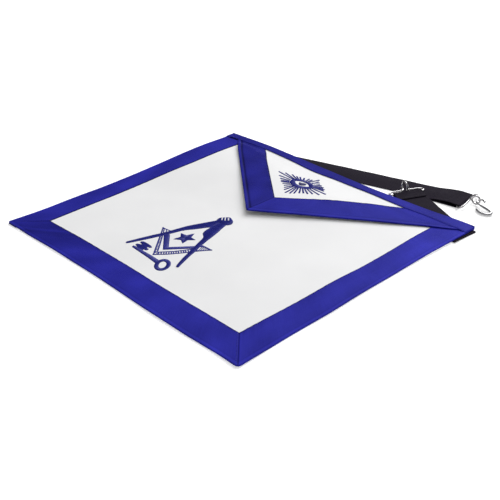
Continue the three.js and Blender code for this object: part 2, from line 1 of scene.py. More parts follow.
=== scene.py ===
import math
import bpy
import numpy as np
from mathutils import Matrix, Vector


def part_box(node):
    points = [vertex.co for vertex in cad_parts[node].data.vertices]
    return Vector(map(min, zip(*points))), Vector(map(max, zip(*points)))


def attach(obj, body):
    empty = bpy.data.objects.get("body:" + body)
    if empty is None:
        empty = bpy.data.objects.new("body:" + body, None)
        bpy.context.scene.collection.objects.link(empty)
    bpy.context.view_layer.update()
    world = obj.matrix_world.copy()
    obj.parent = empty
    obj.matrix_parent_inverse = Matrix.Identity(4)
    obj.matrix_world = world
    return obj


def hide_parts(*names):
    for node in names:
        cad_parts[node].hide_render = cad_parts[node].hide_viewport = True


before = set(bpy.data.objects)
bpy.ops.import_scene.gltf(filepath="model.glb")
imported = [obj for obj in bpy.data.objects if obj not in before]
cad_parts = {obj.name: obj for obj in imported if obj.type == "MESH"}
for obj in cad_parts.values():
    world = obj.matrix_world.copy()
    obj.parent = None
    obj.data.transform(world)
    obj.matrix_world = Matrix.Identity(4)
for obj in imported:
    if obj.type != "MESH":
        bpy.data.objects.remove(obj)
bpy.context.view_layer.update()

# ------------------------------------------------------------------ places and sizes, millimetres
# X runs along the bottom edge, Y up to the waist, Z up; the apron's bottom left corner is at X 0, Y 0
WIDTH, HEIGHT = 406.4, 355.6
HALF = 0.5                      # half the leather
BORDER = 36.0                   # ribbon width on body and flap
BINDING = 18.0                  # front leg of the waist binding
RIBBON = 0.5                    # ribbon thickness
LIE = 0.06                      # ribbon above the leather
EDGE = 1.25
STRAP = 36.5
WEB = 0.9
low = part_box("apron_panel")[0]
SHIFT = np.array([low.x * 1000 - EDGE, low.y * 1000 - EDGE, 0.0])
rng = np.random.default_rng(4711)


def clamp(t, a=0.0, b=1.0):
    return np.minimum(b, np.maximum(a, t))


def smooth(t):
    k = clamp(t)
    return k * k * (3 - 2 * k)


def lerp(a, b, t):
    return a + (b - a) * t


def rad(d):
    return np.radians(d)


def curve(xs, ys):
    """cubic through points, level outside them"""
    xs, ys = np.asarray(xs, float), np.asarray(ys, float)
    n = len(xs)
    slope = np.array([(ys[min(i + 1, n - 1)] - ys[max(i - 1, 0)]) / (xs[min(i + 1, n - 1)] - xs[max(i - 1, 0)]) for i in range(n)])

    def f(x):
        x = np.clip(np.asarray(x, float), xs[0], xs[-1])
        i = np.clip(np.searchsorted(xs, x, side="left") - 1, 0, n - 2)
        step = xs[i + 1] - xs[i]
        t = (x - xs[i]) / step
        return ((2 * t**3 - 3 * t * t + 1) * ys[i] + (t**3 - 2 * t * t + t) * slope[i] * step
                + (-2 * t**3 + 3 * t * t) * ys[i + 1] + (t**3 - t * t) * slope[i + 1] * step)
    return f


def waves(seed, count, low_mm, high_mm):
    """smooth seeded noise of x and y, about -1 to 1, with wavelengths between two sizes"""
    r = np.random.default_rng(seed)
    length = np.exp(r.uniform(np.log(low_mm), np.log(high_mm), count))
    turn, phase = r.uniform(0, 2 * np.pi, count), r.uniform(0, 2 * np.pi, count)

    def f(x, y):
        total = 0.0
        for L, a, p in zip(length, turn, phase):
            total = total + np.sin((x * np.cos(a) + y * np.sin(a)) * 2 * np.pi / L + p)
        return total / math.sqrt(count)
    return f


# ------------------------------------------------------------------ how the apron lies
waist_lift = curve([0, 40, 85, 133, 188, 231, 264, 293, 325, 350, 370, 406.4],
                   [10.4, 10.3, 9.9, 7.5, 5.2, 3.5, 2.5, 2.1, 1.7, 1.8, 1.9, 1.9])
CURLS = [(0, 0, 62, 1.1), (406.4, 0, 46, 0.9), (96, 0, 60, 0.6), (300, 0, 60, 0.7), (406.4, 150, 70, 0.8)]
soft_lie = waves(3, 9, 45, 150)
fine_lie = waves(8, 12, 14, 34)


def body_mid(x, y):
    start = lerp(120.0, 190.0, smooth(x / 120))
    z = HALF + waist_lift(x) * smooth((y - start) / (310 - start))
    for cx, cy, reach, lift in CURLS:
        d = np.hypot(x - cx, y - cy) / reach
        z = z + np.where(d < 1, lift * (1 - np.minimum(d, 1) ** 2) ** 2, 0)
    return z + 0.09 * (1.6 + soft_lie(x, y)).clip(0, 3) + 0.018 * (1.8 + fine_lie(x, y)).clip(0, 4)


TIP, FLAP_LEFT, FLAP_RIGHT = np.array([194.3, 206.3]), np.array([33.5, 334.3]), np.array([393.0, 334.3])
ROOT_RISE = 1.25
FREE, FLAT, ROOT_TOP = HEIGHT - 14.0, 284.0, HEIGHT - 2.2
flap_soft = waves(21, 8, 40, 130)


def flap_mid(x, y):
    root = body_mid(x, np.maximum(y, FREE)) + ROOT_RISE
    plane = 8.1 - 0.0333 * x + 0.0276 * y + 0.12 * flap_soft(x, y)
    bed = body_mid(x, y) + HALF + RIBBON + 1.2
    free = plane + 0.3 * np.logaddexp(0, (bed - plane) / 0.3)
    flat = lerp(330.0, FLAT, smooth((x - 60) / 130))
    return np.where(y >= FREE, root, lerp(free, root, smooth((y - flat) / (FREE - flat))))


# the cloth is not a true rectangle: sideways shift of each edge and of the line 36 mm inside it
bottom_out, bottom_in = curve([0, 50, 120, 180, 237, 287, 332, 375, 406], [0.3, 1.3, 3.1, 3.8, 3.1, 1.9, 2.2, 3.3, 2.4]), curve([36, 60, 120, 180, 230, 287, 332, 370], [1.2, 1.9, 3.1, 3.1, 2.5, 1.8, 2.0, 2.1])
left_out, left_in = curve([0, 30, 72, 114, 160, 208, 259, 312, 355], [1.6, 1.6, -1.0, -2.6, -2.4, -0.6, 0.0, -0.8, -1.5]), curve([36, 72, 114, 160, 208, 259, 300], [0.0, -2.2, -4.2, -5.6, -4.6, -0.6, 0.0])
right_out, right_in = curve([0, 14, 45, 82, 122, 165, 209, 242, 275, 292, 330, 355], [3.2, 2.6, 1.1, 0.5, 1.3, -0.2, -0.9, -0.9, -0.4, 0.3, 1.3, 1.7]), curve([36, 82, 122, 165, 209, 242, 300], [0.8, 1.3, 1.8, 1.2, 2.2, 2.3, 1.6])
top_shift = curve([0, 80, 135, 205, 260, 315, 345, 406], [2.9, 2.1, 1.4, 0.0, -1.4, -2.2, -2.6, -2.7])


def drape(x, y):
    def part(d, out, inn, at):
        return lerp(out(at), inn(at), clamp(d / 36)) * (1 - smooth((d - 36) / 70))
    return (x + part(x, left_out, left_in, y) + part(WIDTH - x, right_out, right_in, y),
            y + part(y, bottom_out, bottom_in, x) + top_shift(x) * smooth((y - 270) / 60))


def drape_flap(x, y):
    return x, y + top_shift(x) * smooth((y - 316) / 20)


def round_corners(x, y, r=4.5):
    """pulls the four square corners of the outline in to small arcs"""
    for cx, sx in ((0, 1), (WIDTH, -1)):
        for cy, sy in ((0, 1), (HEIGHT, -1)):
            rr = 2.2 if cy else (2.0 if cx == 0 else r)
            a, b = rr - (x - cx) * sx, rr - (y - cy) * sy
            near = (a > 0) & (b > 0)
            m, h = np.maximum(a, b), np.hypot(a, b)
            k = np.where(near, m / np.where(h > 0, h, 1), 1)
            x = np.where(near, cx + sx * (rr - a * k), x)
            y = np.where(near, cy + sy * (rr - b * k), y)
    return x, y


# ------------------------------------------------------------------ mesh making
class Build:
    """vertices, faces and per-point values of one piece, gathered from closed bodies"""

    def __init__(self):
        self.v, self.f, self.strip, self.tone, self.n = [], [], [], [], 0

    def add(self, verts, faces, strip=None, tone=None):
        verts = np.asarray(verts, float).reshape(-1, 3)
        self.v.append(verts)
        self.f.extend([[i + self.n for i in f] for f in faces] if self.n else faces)
        self.strip.append(np.zeros((len(verts), 3)) if strip is None else np.asarray(strip, float).reshape(-1, 3))
        self.tone.append(np.full(len(verts), 0.5) if tone is None else np.asarray(tone, float).ravel())
        self.n += len(verts)

    def done(self, name, material, replaces=()):
        co = (np.concatenate(self.v) + SHIFT) * 0.001
        me = bpy.data.meshes.new(name)
        me.from_pydata(co.tolist(), [], self.f)
        me.validate()
        me.update()
        for key, kind, values in (("strip", "FLOAT_VECTOR", np.concatenate(self.strip)), ("tone", "FLOAT", np.concatenate(self.tone))):
            a = me.attributes.new(key, kind, "POINT")
            a.data.foreach_set("vector" if kind == "FLOAT_VECTOR" else "value", values.astype(np.float32).ravel())
        me.shade_smooth()
        ob = bpy.data.objects.new(name, me)
        bpy.context.scene.collection.objects.link(ob)
        me.materials.append(material)
        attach(ob, "root")
        if replaces:
            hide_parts(*replaces)
        return ob


def outward(verts, faces):
    v = np.asarray(verts).reshape(-1, 3)
    total = 0.0
    for f in faces[:: max(1, len(faces) // 4000)] if len(faces) < 60 else faces:
        a = v[f[0]]
        for i in range(1, len(f) - 1):
            total += np.dot(a, np.cross(v[f[i]], v[f[i + 1]]))
    return faces if total > 0 else [f[::-1] for f in faces]


def grid_quads(nr, m, offset=0, flip=False):
    i, j = np.meshgrid(np.arange(nr - 1), np.arange(m - 1), indexing="ij")
    a = (i * m + j + offset).ravel()
    q = np.stack([a, a + 1, a + m + 1, a + m], 1)
    return (q[:, ::-1] if flip else q).tolist()


def shell(top, bottom):
    """closed sheet between two grids of points of the same shape, top seen from outside with rows and columns turning right"""
    nr, m = top.shape[:2]
    N = nr * m
    rim = [(0, j) for j in range(m - 1)] + [(i, m - 1) for i in range(nr - 1)] + [(nr - 1, j) for j in range(m - 1, 0, -1)] + [(i, 0) for i in range(nr - 1, 0, -1)]
    idx = [i * m + j for i, j in rim]
    sides = [[idx[k], N + idx[k], N + idx[(k + 1) % len(idx)], idx[(k + 1) % len(idx)]] for k in range(len(idx))]
    faces = grid_quads(nr, m) + grid_quads(nr, m, N, True) + sides
    verts = np.concatenate([top.reshape(-1, 3), bottom.reshape(-1, 3)])
    # signed volume of the whole, from triangles
    q = np.array(faces)
    p = verts[q]
    vol = np.einsum("ij,ij->i", p[:, 0], np.cross(p[:, 1], p[:, 2])).sum() + np.einsum("ij,ij->i", p[:, 0], np.cross(p[:, 2], p[:, 3])).sum()
    return verts, (faces if vol > 0 else q[:, ::-1].tolist())


def loft(rings):
    """closed body through closed rings, with flat ends"""
    n, k = rings.shape[:2]
    i, j = np.meshgrid(np.arange(n - 1), np.arange(k), indexing="ij")
    a, b = (i * k + j).ravel(), (i * k + (j + 1) % k).ravel()
    q = np.stack([a, b, b + k, a + k], 1)
    verts = rings.reshape(-1, 3)
    p = verts[q] - verts.mean(0)
    vol = np.einsum("ij,ij->i", p[:, 0], np.cross(p[:, 1], p[:, 2])).sum() + np.einsum("ij,ij->i", p[:, 0], np.cross(p[:, 2], p[:, 3])).sum()
    ends = [list(range(k))[::-1], [(n - 1) * k + t for t in range(k)]]
    faces = q.tolist() + ends
    return verts, (faces if vol > 0 else [f[::-1] for f in faces])


def tube(points, radii, sides=14):
    """round bar along points, its section turned as little as possible from ring to ring"""
    p = np.asarray(points, float)
    r = np.broadcast_to(np.asarray(radii, float), (len(p),))
    t = np.gradient(p, axis=0)
    t /= np.linalg.norm(t, axis=1)[:, None]
    n = np.cross(t[0], [0, 0, 1.0])
    if np.linalg.norm(n) < 0.1:
        n = np.cross(t[0], [1.0, 0, 0])
    n /= np.linalg.norm(n)
    ring = []
    for i in range(len(p)):
        n = n - t[i] * np.dot(n, t[i])
        n /= np.linalg.norm(n)
        b = np.cross(t[i], n)
        a = np.arange(sides) * 2 * np.pi / sides
        ring.append(p[i] + r[i] * (np.cos(a)[:, None] * n + np.sin(a)[:, None] * b))
    return loft(np.array(ring))


def catmull(points, count):
    """centripetal curve through points, evenly stepped along its length"""
    p = np.asarray(points, float)
    p = np.vstack([2 * p[0] - p[1], p, 2 * p[-1] - p[-2]])
    out = []
    for i in range(1, len(p) - 2):
        k = [0.0]
        for a, b in ((i - 1, i), (i, i + 1), (i + 1, i + 2)):
            k.append(k[-1] + max(np.linalg.norm(p[b] - p[a]), 1e-9) ** 0.5)
        for t in np.linspace(k[1], k[2], 24, endpoint=False):
            a1 = (k[1] - t) / (k[1] - k[0]) * p[i - 1] + (t - k[0]) / (k[1] - k[0]) * p[i]
            a2 = (k[2] - t) / (k[2] - k[1]) * p[i] + (t - k[1]) / (k[2] - k[1]) * p[i + 1]
            a3 = (k[3] - t) / (k[3] - k[2]) * p[i + 1] + (t - k[2]) / (k[3] - k[2]) * p[i + 2]
            b1 = (k[2] - t) / (k[2] - k[0]) * a1 + (t - k[0]) / (k[2] - k[0]) * a2
            b2 = (k[3] - t) / (k[3] - k[1]) * a2 + (t - k[1]) / (k[3] - k[1]) * a3
            out.append((k[2] - t) / (k[2] - k[1]) * b1 + (t - k[1]) / (k[2] - k[1]) * b2)
    out.append(p[-2])
    return resample(np.array(out), count)


def resample(p, count):
    p = np.asarray(p, float)
    s = np.concatenate([[0], np.cumsum(np.linalg.norm(np.diff(p, axis=0), axis=1))])
    u = np.linspace(0, s[-1], count)
    return np.stack([np.interp(u, s, p[:, k]) for k in range(p.shape[1])], 1)


def length_of(p):
    return float(np.linalg.norm(np.diff(np.asarray(p, float), axis=0), axis=1).sum())


# ------------------------------------------------------------------ materials
class Nodes:
    def __init__(self, name):
        self.m = bpy.data.materials.new(name)
        self.m.use_nodes = True
        self.t = self.m.node_tree
        self.p = self.t.nodes["Principled BSDF"]

    def new(self, kind, **values):
        n = self.t.nodes.new(kind)
        for k, v in values.items():
            if hasattr(n, k):
                setattr(n, k, v)
            else:
                n.inputs[k.replace("_", " ").title() if k not in n.inputs else k].default_value = v
        return n

    def link(self, a, b):
        self.t.links.new(a, b)

    def put(self, **values):
        for k, v in values.items():
            self.p.inputs[k.replace("_", " ")].default_value = v

    def math(self, op, a, b=None, clamp_it=False):
        n = self.t.nodes.new("ShaderNodeMath")
        n.operation, n.use_clamp = op, clamp_it
        for i, v in enumerate((a, b)):
            if v is None:
                continue
            if isinstance(v, (int, float)):
                n.inputs[i].default_value = v
            else:
                self.link(v, n.inputs[i])
        return n.outputs[0]

    def coords(self, scale=(1000, 1000, 1000)):
        """the object's own coordinates in millimetres"""
        tc, mp = self.new("ShaderNodeTexCoord"), self.new("ShaderNodeMapping")
        mp.inputs["Scale"].default_value = scale
        self.link(tc.outputs["Object"], mp.inputs["Vector"])
        return mp.outputs["Vector"]

    def attribute(self, name):
        n = self.new("ShaderNodeAttribute")
        n.attribute_type, n.attribute_name = "GEOMETRY", name
        return n

    def noise(self, vector, scale, detail=3.0, rough=0.5):
        n = self.new("ShaderNodeTexNoise")
        n.inputs["Scale"].default_value, n.inputs["Detail"].default_value, n.inputs["Roughness"].default_value = scale, detail, rough
        self.link(vector, n.inputs["Vector"])
        return n.outputs["Fac"]

    def ramp(self, value, stops):
        n = self.new("ShaderNodeValToRGB")
        el = n.color_ramp.elements
        while len(el) < len(stops):
            el.new(0.5)
        for e, (pos, col) in zip(el, stops):
            e.position, e.color = pos, (*col, 1)
        self.link(value, n.inputs["Fac"])
        return n.outputs["Color"]

    def bump(self, height, distance_mm, strength=1.0, normal=None):
        n = self.new("ShaderNodeBump")
        n.inputs["Strength"].default_value = strength
        n.inputs["Distance"].default_value = distance_mm * 0.001
        self.link(height, n.inputs["Height"])
        if normal is not None:
            self.link(normal, n.inputs["Normal"])
        return n.outputs["Normal"]


def leather_material():
    k = Nodes("leatherette_white")
    c = k.coords()
    patch = k.noise(c, 0.012, 2)
    fine = k.noise(c, 0.9, 4, 0.6)
    mixed = k.math("ADD", k.math("MULTIPLY", patch, 0.75), k.math("MULTIPLY", fine, 0.25))
    k.link(k.ramp(mixed, [(0.3, (0.795, 0.795, 0.80)), (0.7, (0.845, 0.845, 0.85))]), k.p.inputs["Base Color"])
    v = k.new("ShaderNodeTexVoronoi")
    v.feature = "DISTANCE_TO_EDGE"
    v.inputs["Scale"].default_value = 0.85
    k.link(c, v.inputs["Vector"])
    cells = k.math("MINIMUM", k.math("MULTIPLY", v.outputs["Distance"], 4.0), 1.0)
    n1 = k.bump(cells, 0.05, 0.5)
    n2 = k.bump(k.noise(c, 2.4, 4, 0.6), 0.05, 0.6, n1)
    k.link(n2, k.p.inputs["Normal"])
    rough = k.math("ADD", k.math("MULTIPLY", fine, 0.16), 0.42)
    k.link(rough, k.p.inputs["Roughness"])
    k.put(Specular_IOR_Level=0.25)
    return k.m


def ribbon_material(name, dark, light, sheen=0.02):
    """ribbed ribbon: fine ribs lie across the strip, crossed by its lengthways threads"""
    k = Nodes(name)
    s = k.attribute("strip")
    sep = k.new("ShaderNodeSeparateXYZ")
    k.link(s.outputs["Vector"], sep.inputs[0])
    along, across = sep.outputs[0], sep.outputs[1]
    rib = k.math("ABSOLUTE", k.math("SINE", k.math("MULTIPLY", along, math.pi / 0.72)))
    warp = k.math("ABSOLUTE", k.math("SINE", k.math("MULTIPLY", across, math.pi / 0.34)))
    grain = k.noise(s.outputs["Vector"], 1.3, 3, 0.6)
    patch = k.noise(s.outputs["Vector"], 0.03, 3, 0.5)
    # uneven threads: long along the strip, and long across it
    long_way = k.new("ShaderNodeMapping")
    long_way.inputs["Scale"].default_value = (0.05, 1.6, 1)
    k.link(s.outputs["Vector"], long_way.inputs["Vector"])
    streak = k.noise(long_way.outputs["Vector"], 1.0, 2, 0.5)
    cross_way = k.new("ShaderNodeMapping")
    cross_way.inputs["Scale"].default_value = (1.1, 0.05, 1)
    k.link(s.outputs["Vector"], cross_way.inputs["Vector"])
    bar = k.noise(cross_way.outputs["Vector"], 1.0, 2, 0.5)
    value = k.math("ADD", k.math("ADD", k.math("MULTIPLY", rib, 0.16), k.math("MULTIPLY", grain, 0.16)),
                   k.math("ADD", k.math("MULTIPLY", patch, 0.30), k.math("ADD", k.math("MULTIPLY", streak, 0.18), k.math("MULTIPLY", bar, 0.20))))
    # tone carries each piece's painted light and shade into the ribbon colour
    tone = k.math("MULTIPLY", k.math("SUBTRACT", k.attribute("tone").outputs["Fac"], 0.5), 1.3)
    k.link(k.ramp(k.math("ADD", value, tone), [(0.0, tuple(c * 0.22 for c in dark)), (0.3, dark), (0.72, light), (1.0, tuple(min(1.0, c * 1.5) for c in light))]),
           k.p.inputs["Base Color"])
    n1 = k.bump(rib, 0.10, 0.55)
    n2 = k.bump(warp, 0.04, 0.35, n1)
    k.link(n2, k.p.inputs["Normal"])
    k.link(k.math("ADD", k.math("MULTIPLY", grain, 0.16), 0.44), k.p.inputs["Roughness"])
    k.put(Specular_IOR_Level=0.03, Sheen_Weight=sheen, Sheen_Roughness=0.35, Sheen_Tint=(0.35, 0.35, 1.0, 1.0))
    return k.m


def thread_material(name, dark, light):
    k = Nodes(name)
    tone = k.attribute("tone").outputs["Fac"]
    c = k.coords()
    # tone brings random thread tone and the painted groove shade of satin columns into the colour
    value = k.math("ADD", k.math("MULTIPLY", tone, 0.8), k.math("MULTIPLY", k.noise(c, 2.2, 3), 0.2))
    k.link(k.ramp(value, [(0.12, dark), (0.92, light)]), k.p.inputs["Base Color"])
    k.link(k.bump(k.noise(c, 7.0, 3, 0.6), 0.03, 0.5), k.p.inputs["Normal"])
    k.link(k.math("ADD", k.math("MULTIPLY", tone, -0.1), 0.42), k.p.inputs["Roughness"])
    k.put(Specular_IOR_Level=0.16)
    return k.m


def webbing_material():
    k = Nodes("webbing_black")
    s = k.attribute("strip")
    sep = k.new("ShaderNodeSeparateXYZ")
    k.link(s.outputs["Vector"], sep.inputs[0])
    along, across = sep.outputs[0], sep.outputs[1]
    rib = k.math("ABSOLUTE", k.math("SINE", k.math("MULTIPLY", across, math.pi / 1.05)))
    pick = k.math("ABSOLUTE", k.math("SINE", k.math("MULTIPLY", along, math.pi / 0.8)))
    grain = k.noise(s.outputs["Vector"], 1.6, 3, 0.6)
    patch = k.noise(s.outputs["Vector"], 0.05, 2, 0.5)
    value = k.math("ADD", k.math("ADD", k.math("MULTIPLY", rib, 0.22), k.math("MULTIPLY", pick, 0.14)),
                   k.math("ADD", k.math("MULTIPLY", grain, 0.32), k.math("MULTIPLY", patch, 0.32)))
    k.link(k.ramp(value, [(0.25, (0.0066, 0.0048, 0.0094)), (0.8, (0.0190, 0.0145, 0.0258))]), k.p.inputs["Base Color"])
    n1 = k.bump(rib, 0.16, 0.6)
    n2 = k.bump(pick, 0.10, 0.5, n1)
    k.link(n2, k.p.inputs["Normal"])
    k.link(k.math("ADD", k.math("MULTIPLY", grain, 0.2), 0.52), k.p.inputs["Roughness"])
    k.put(Specular_IOR_Level=0.03)
    return k.m


def metal_material(name, colour, rough, wear=0.06):
    k = Nodes(name)
    c = k.coords()
    n = k.noise(c, 0.7, 4, 0.6)
    k.link(k.ramp(n, [(0.25, tuple(x * 0.88 for x in colour)), (0.75, colour)]), k.p.inputs["Base Color"])
    k.link(k.math("ADD", k.math("MULTIPLY", n, wear * 2), rough - wear), k.p.inputs["Roughness"])
    k.link(k.bump(k.noise(c, 3.0, 3), 0.02, 0.35), k.p.inputs["Normal"])
    k.put(Metallic=1.0)
    return k.m


LEATHER = leather_material()
RIBBON_MAT = ribbon_material("ribbon_royal_blue", (0.0110, 0.0115, 0.185), (0.0270, 0.0280, 0.375))
# a darker copy of the ribbon material: painted shade for the left flap ribbon
RIBBON_SHADE = ribbon_material("ribbon_royal_blue_painted_shade", (0.0070, 0.0072, 0.130), (0.0180, 0.0185, 0.270))
BLUE_THREAD = thread_material("thread_royal_blue", (0.012, 0.010, 0.17), (0.03, 0.028, 0.34))
NAVY = thread_material("thread_navy", (0.0068, 0.0095, 0.138), (0.0235, 0.0315, 0.340))
NAVY_DEEP = thread_material("thread_navy_deep", (0.0030, 0.0040, 0.060), (0.0100, 0.0135, 0.160))
PALE = thread_material("thread_white", (0.70, 0.70, 0.74), (0.86, 0.86, 0.88))
WEBBING = webbing_material()
BLACK_THREAD = thread_material("thread_black", (0.006, 0.005, 0.007), (0.03, 0.027, 0.034))
CHROME = metal_material("plated_wire", (0.46, 0.45, 0.46), 0.14)
CAST = metal_material("plated_casting", (0.42, 0.42, 0.43), 0.18, 0.08)

# ------------------------------------------------------------------ camera, at the photograph's place
F_PX, AZ, EL, ROLL = 798.2, rad(-49.07), rad(28.31), rad(-2.81)
AT = (np.array([832.8, -344.4, 408.3]) + SHIFT) * 0.001
fw = np.array([math.sin(AZ) * math.cos(EL), math.cos(AZ) * math.cos(EL), -math.sin(EL)])
rt = np.cross(fw, [0, 0, 1.0]); rt /= np.linalg.norm(rt)
up = np.cross(rt, fw)
r_, u_ = math.cos(ROLL) * rt + math.sin(ROLL) * up, -math.sin(ROLL) * rt + math.cos(ROLL) * up
cam = bpy.data.objects.new("camera", bpy.data.cameras.new("camera"))
cam.data.sensor_width, cam.data.lens = 36.0, 36.0 * F_PX / 500
cam.data.clip_start, cam.data.clip_end = 0.01, 20
cam.matrix_world = Matrix(((r_[0], u_[0], -fw[0], AT[0]), (r_[1], u_[1], -fw[1], AT[1]), (r_[2], u_[2], -fw[2], AT[2]), (0, 0, 0, 1)))
bpy.context.scene.collection.objects.link(cam)
bpy.context.scene.camera = cam

# ------------------------------------------------------------------ leather body
xs, ys = np.linspace(0.62, WIDTH - 0.62, 168), np.linspace(0.62, HEIGHT - 0.62, 148)
X, Y = np.meshgrid(xs, ys)
XR, YR = drape(*round_corners(X, Y))
Z = body_mid(XR, YR)
b = Build()
v, f = shell(np.stack([XR, YR, Z + HALF], 2), np.stack([XR, YR, Z - HALF], 2))
b.add(v, f)
body = b.done("apron_leather", LEATHER, ["apron_panel"])

# ------------------------------------------------------------------ ribbons
stitches = Build()                       # machine stitches in the ribbon's own colour
black_stitches = Build()


def stitch(build, p, q, normal, radius=0.22, tone=0.5, sides=6):
    """one lockstitch from p to q, sunk at both ends"""
    p, q, normal = (np.asarray(a, float) for a in (p, q, normal))
    t = np.array([0, 0.12, 0.5, 0.88, 1.0])
    r = radius * np.array([0.35, 0.85, 1.0, 0.85, 0.35])
    rise = radius * np.array([-0.9, 0.15, 0.55, 0.15, -0.9])
    pts = p + (q - p) * t[:, None] + normal * rise[:, None]
    v, f = tube(pts, r, sides)
    build.add(v, f, tone=np.full(len(v), tone))


def stitch_run(build, line, pitch=2.9, gap=0.55, radius=0.22):
    """stitches along a line of points with the surface's normals close to upright"""
    line = np.asarray(line, float)
    n = max(1, int(round(length_of(line) / pitch)))
    pts = resample(line, n + 1)
    for i in range(n):
        d = pts[i + 1] - pts[i]
        s = np.linalg.norm(d)
        stitch(build, pts[i] + d * gap / 2 / s, pts[i + 1] - d * gap / 2 / s, (0, 0, 1), radius, rng.uniform(0.3, 0.7))


TOP_V = np.array([36.0, 35.75, 35.2, 34, 32, 30, 28, 26, 24, 22, 20, 18, 16, 14, 12, 10, 8.4, 7, 6, 5.2, 4.6, 4.0, 3.6, 3.2, 2.7, 2.1, 1.5, 1.0, 0.6])


def ribbon_profile(crease, roll, hem_at=4.1):
    """outer and inner lines of a ribbon's section, (v, w): v inwards from the fold, w above the leather's middle"""
    t = RIBBON
    base = HALF + LIE + t
    w = np.full(len(TOP_V), base)
    w[0], w[1] = base - 0.32, base - 0.08
    w += roll * np.exp(-((TOP_V - 2.0) / 1.5) ** 2) - crease * np.exp(-((TOP_V - hem_at) / 0.75) ** 2)
    outer = [(v_, w_) for v_, w_ in zip(TOP_V, w)]
    top = outer[-1][1]
    for a in (20, 40, 60, 80):                                     # round the fold
        outer.append((0.6 - 0.6 * math.sin(rad(a)), top - 0.6 + 0.6 * math.cos(rad(a))))
    for w_ in (0.35, 0.05, -0.25, -0.5):
        outer.append((0.0, w_))
    outer = np.array(outer)
    inner = outer.copy()
    n = len(TOP_V)
    inner[:n, 1] = np.minimum(outer[:n, 1] - t, base - t + 0.6 * (outer[:n, 1] - base))
    inner[0, 1] = outer[0, 1] - 0.12
    inner[n:, 0] += 0.45
    inner[n - 3:n + 4, 1] = np.minimum(inner[n - 3:n + 4, 1], HALF + LIE)
    inner[n:, 0] = np.maximum(inner[n:, 0], 0.5)
    return outer, inner


def ribbon(name, node, place, mid, length, steps, along0=0.0, crease=0.07, roll=0.1, pucker=0.12, seed=1, corners=False,
           mitre_end=(), raised=0.0, tail=lambda v, s: 0.0, material=None, hem_at=4.1, painted_crease_shade=0.12, painted_crease_shade_width=0.7, painted_shading=None):
    """one border ribbon. place(v, s) gives x, y; mid(x, y) the leather's middle; mitre_end are the s ends that meet another ribbon"""
    outer, inner = ribbon_profile(crease, roll, hem_at)
    s = np.linspace(0, 1, steps)
    noise_a, noise_b = waves(seed, 7, 7, 16), waves(seed + 50, 6, 22, 60)
    grids = []
    for prof in (outer, inner):
        V, S = np.meshgrid(prof[:, 0], s)
        W = np.broadcast_to(prof[:, 1], V.shape).copy()
        x, y = place(V, S)
        a = S * length + along0
        # puckers beside the inner stitch line and faint waves over the whole width
        W += pucker * noise_a(a, a * 0) * np.exp(-((V - 33.5) / 4.0) ** 2) * (V > 20)
        W += 0.07 * pucker / 0.1 * noise_b(a, V) * smooth(V / 6) * smooth((36 - V) / 4)
        for end in mitre_end:
            d = np.abs(S - end) * length
            W += raised * smooth((3.4 - d) / 0.9) * smooth(V / 3)
            W -= 0.09 * smooth((0.5 - d) / 0.5) * (V > 0.4)
        W += tail(V, S)
        if prof is inner:
            W = np.maximum(W, np.where(V > 1.2, HALF + LIE - 0.02, -9))
        x, y = drape(*round_corners(x, y)) if corners else drape_flap(x, y)
        z = mid(x, y) + W
        grids.append(np.stack([x, y, z], 2))
    b = Build()
    v, f = shell(*grids)
    V, S = np.meshgrid(outer[:, 0] + np.where(np.arange(len(outer)) >= len(TOP_V), outer[:, 1] - 1, 0), s)
    strip = np.stack([S * length + along0, V, np.zeros_like(V)], 2).reshape(-1, 3)
    # tone paints light and shade: painted_shading by place, a painted shade line along the hem crease, painted shade at
    # the inner edge and a painted highlight on the rolled outer edge; the small noise term is random tone
    tone = 0.5 + (painted_shading(S * length, V) if painted_shading else 0.0) + 0.05 * noise_b(S * length * 0.6, V) - painted_crease_shade * 0.5 * np.exp(-((V - hem_at - 0.2) / painted_crease_shade_width) ** 2) - 0.32 * smooth((V - 34.3) / 1.2) + 0.10 * np.exp(-((V - 2.0) / 1.3) ** 2)
    # painted shade in the mitre joint, with a painted highlight on the raised fold beside it
    for end in mitre_end:
        d = np.abs(S - end) * length
        tone = tone - 0.16 * np.exp(-(d / 0.9) ** 2) + 0.07 * np.exp(-((d - 2.6) / 1.2) ** 2)
    # the inner shell's tone 0.3 is painted shade on the ribbon's underside and inner faces
    b.add(v, f, strip=np.concatenate([strip, strip + [0.3, 0.2, 0.5]]), tone=np.concatenate([tone.ravel(), tone.ravel() * 0 + 0.3]))
    return b.done(name, material or RIBBON_MAT, [node])


SIDE_END = HEIGHT - BINDING - 0.25
CUT = 0.02
left_top = lambda v: np.interp(v, [0, 9, 12, 18, 24, 28, 31, 33.5, 35.2, 36], [345.0, 345.0, 344.2, 343.6, 343.4, 342.8, 341.4, 338.6, 335.0, 332.0])
right_top = lambda v: v * 0 + 353.6
# painted_shading lightens or darkens the ribbons by place: the right ribbon is painted lighter towards its top, and the
# bottom ribbon is painted darker near X 0 with a painted light streak across it and a little lighter towards X 406
sides = [
    ribbon("border_ribbon_left", "border_left", lambda v, s: (v, lerp(v + CUT, left_top(v), s)), body_mid, 337, 150, seed=11,
           corners=True, mitre_end=(0,)),
    ribbon("border_ribbon_right", "border_right", lambda v, s: (WIDTH - v, lerp(v + CUT, right_top(v), s)), body_mid, 346, 150, seed=12,
           corners=True, mitre_end=(0,), tail=lambda v, s: -0.14 * smooth((s - 0.945) / 0.02) * (v > 0.7),
           painted_shading=lambda a, v: 0.04 + 0.09 * smooth((a - 150) / 130)),
    ribbon("border_ribbon_bottom", "border_bottom", lambda v, s: (lerp(v + CUT, WIDTH - v - CUT, s), v), body_mid, WIDTH, 176, seed=13,
           corners=True, mitre_end=(0, 1), raised=0.12,
           painted_shading=lambda a, v: -0.16 * np.exp(-((a - 40) / 42) ** 2) + 0.13 * np.exp(-((a - 22 - v * 0.9) / 5) ** 2) - 0.05 * np.exp(-((a - 90) / 40) ** 2)
           + 0.04 * smooth((a - 180) / 120)),
]
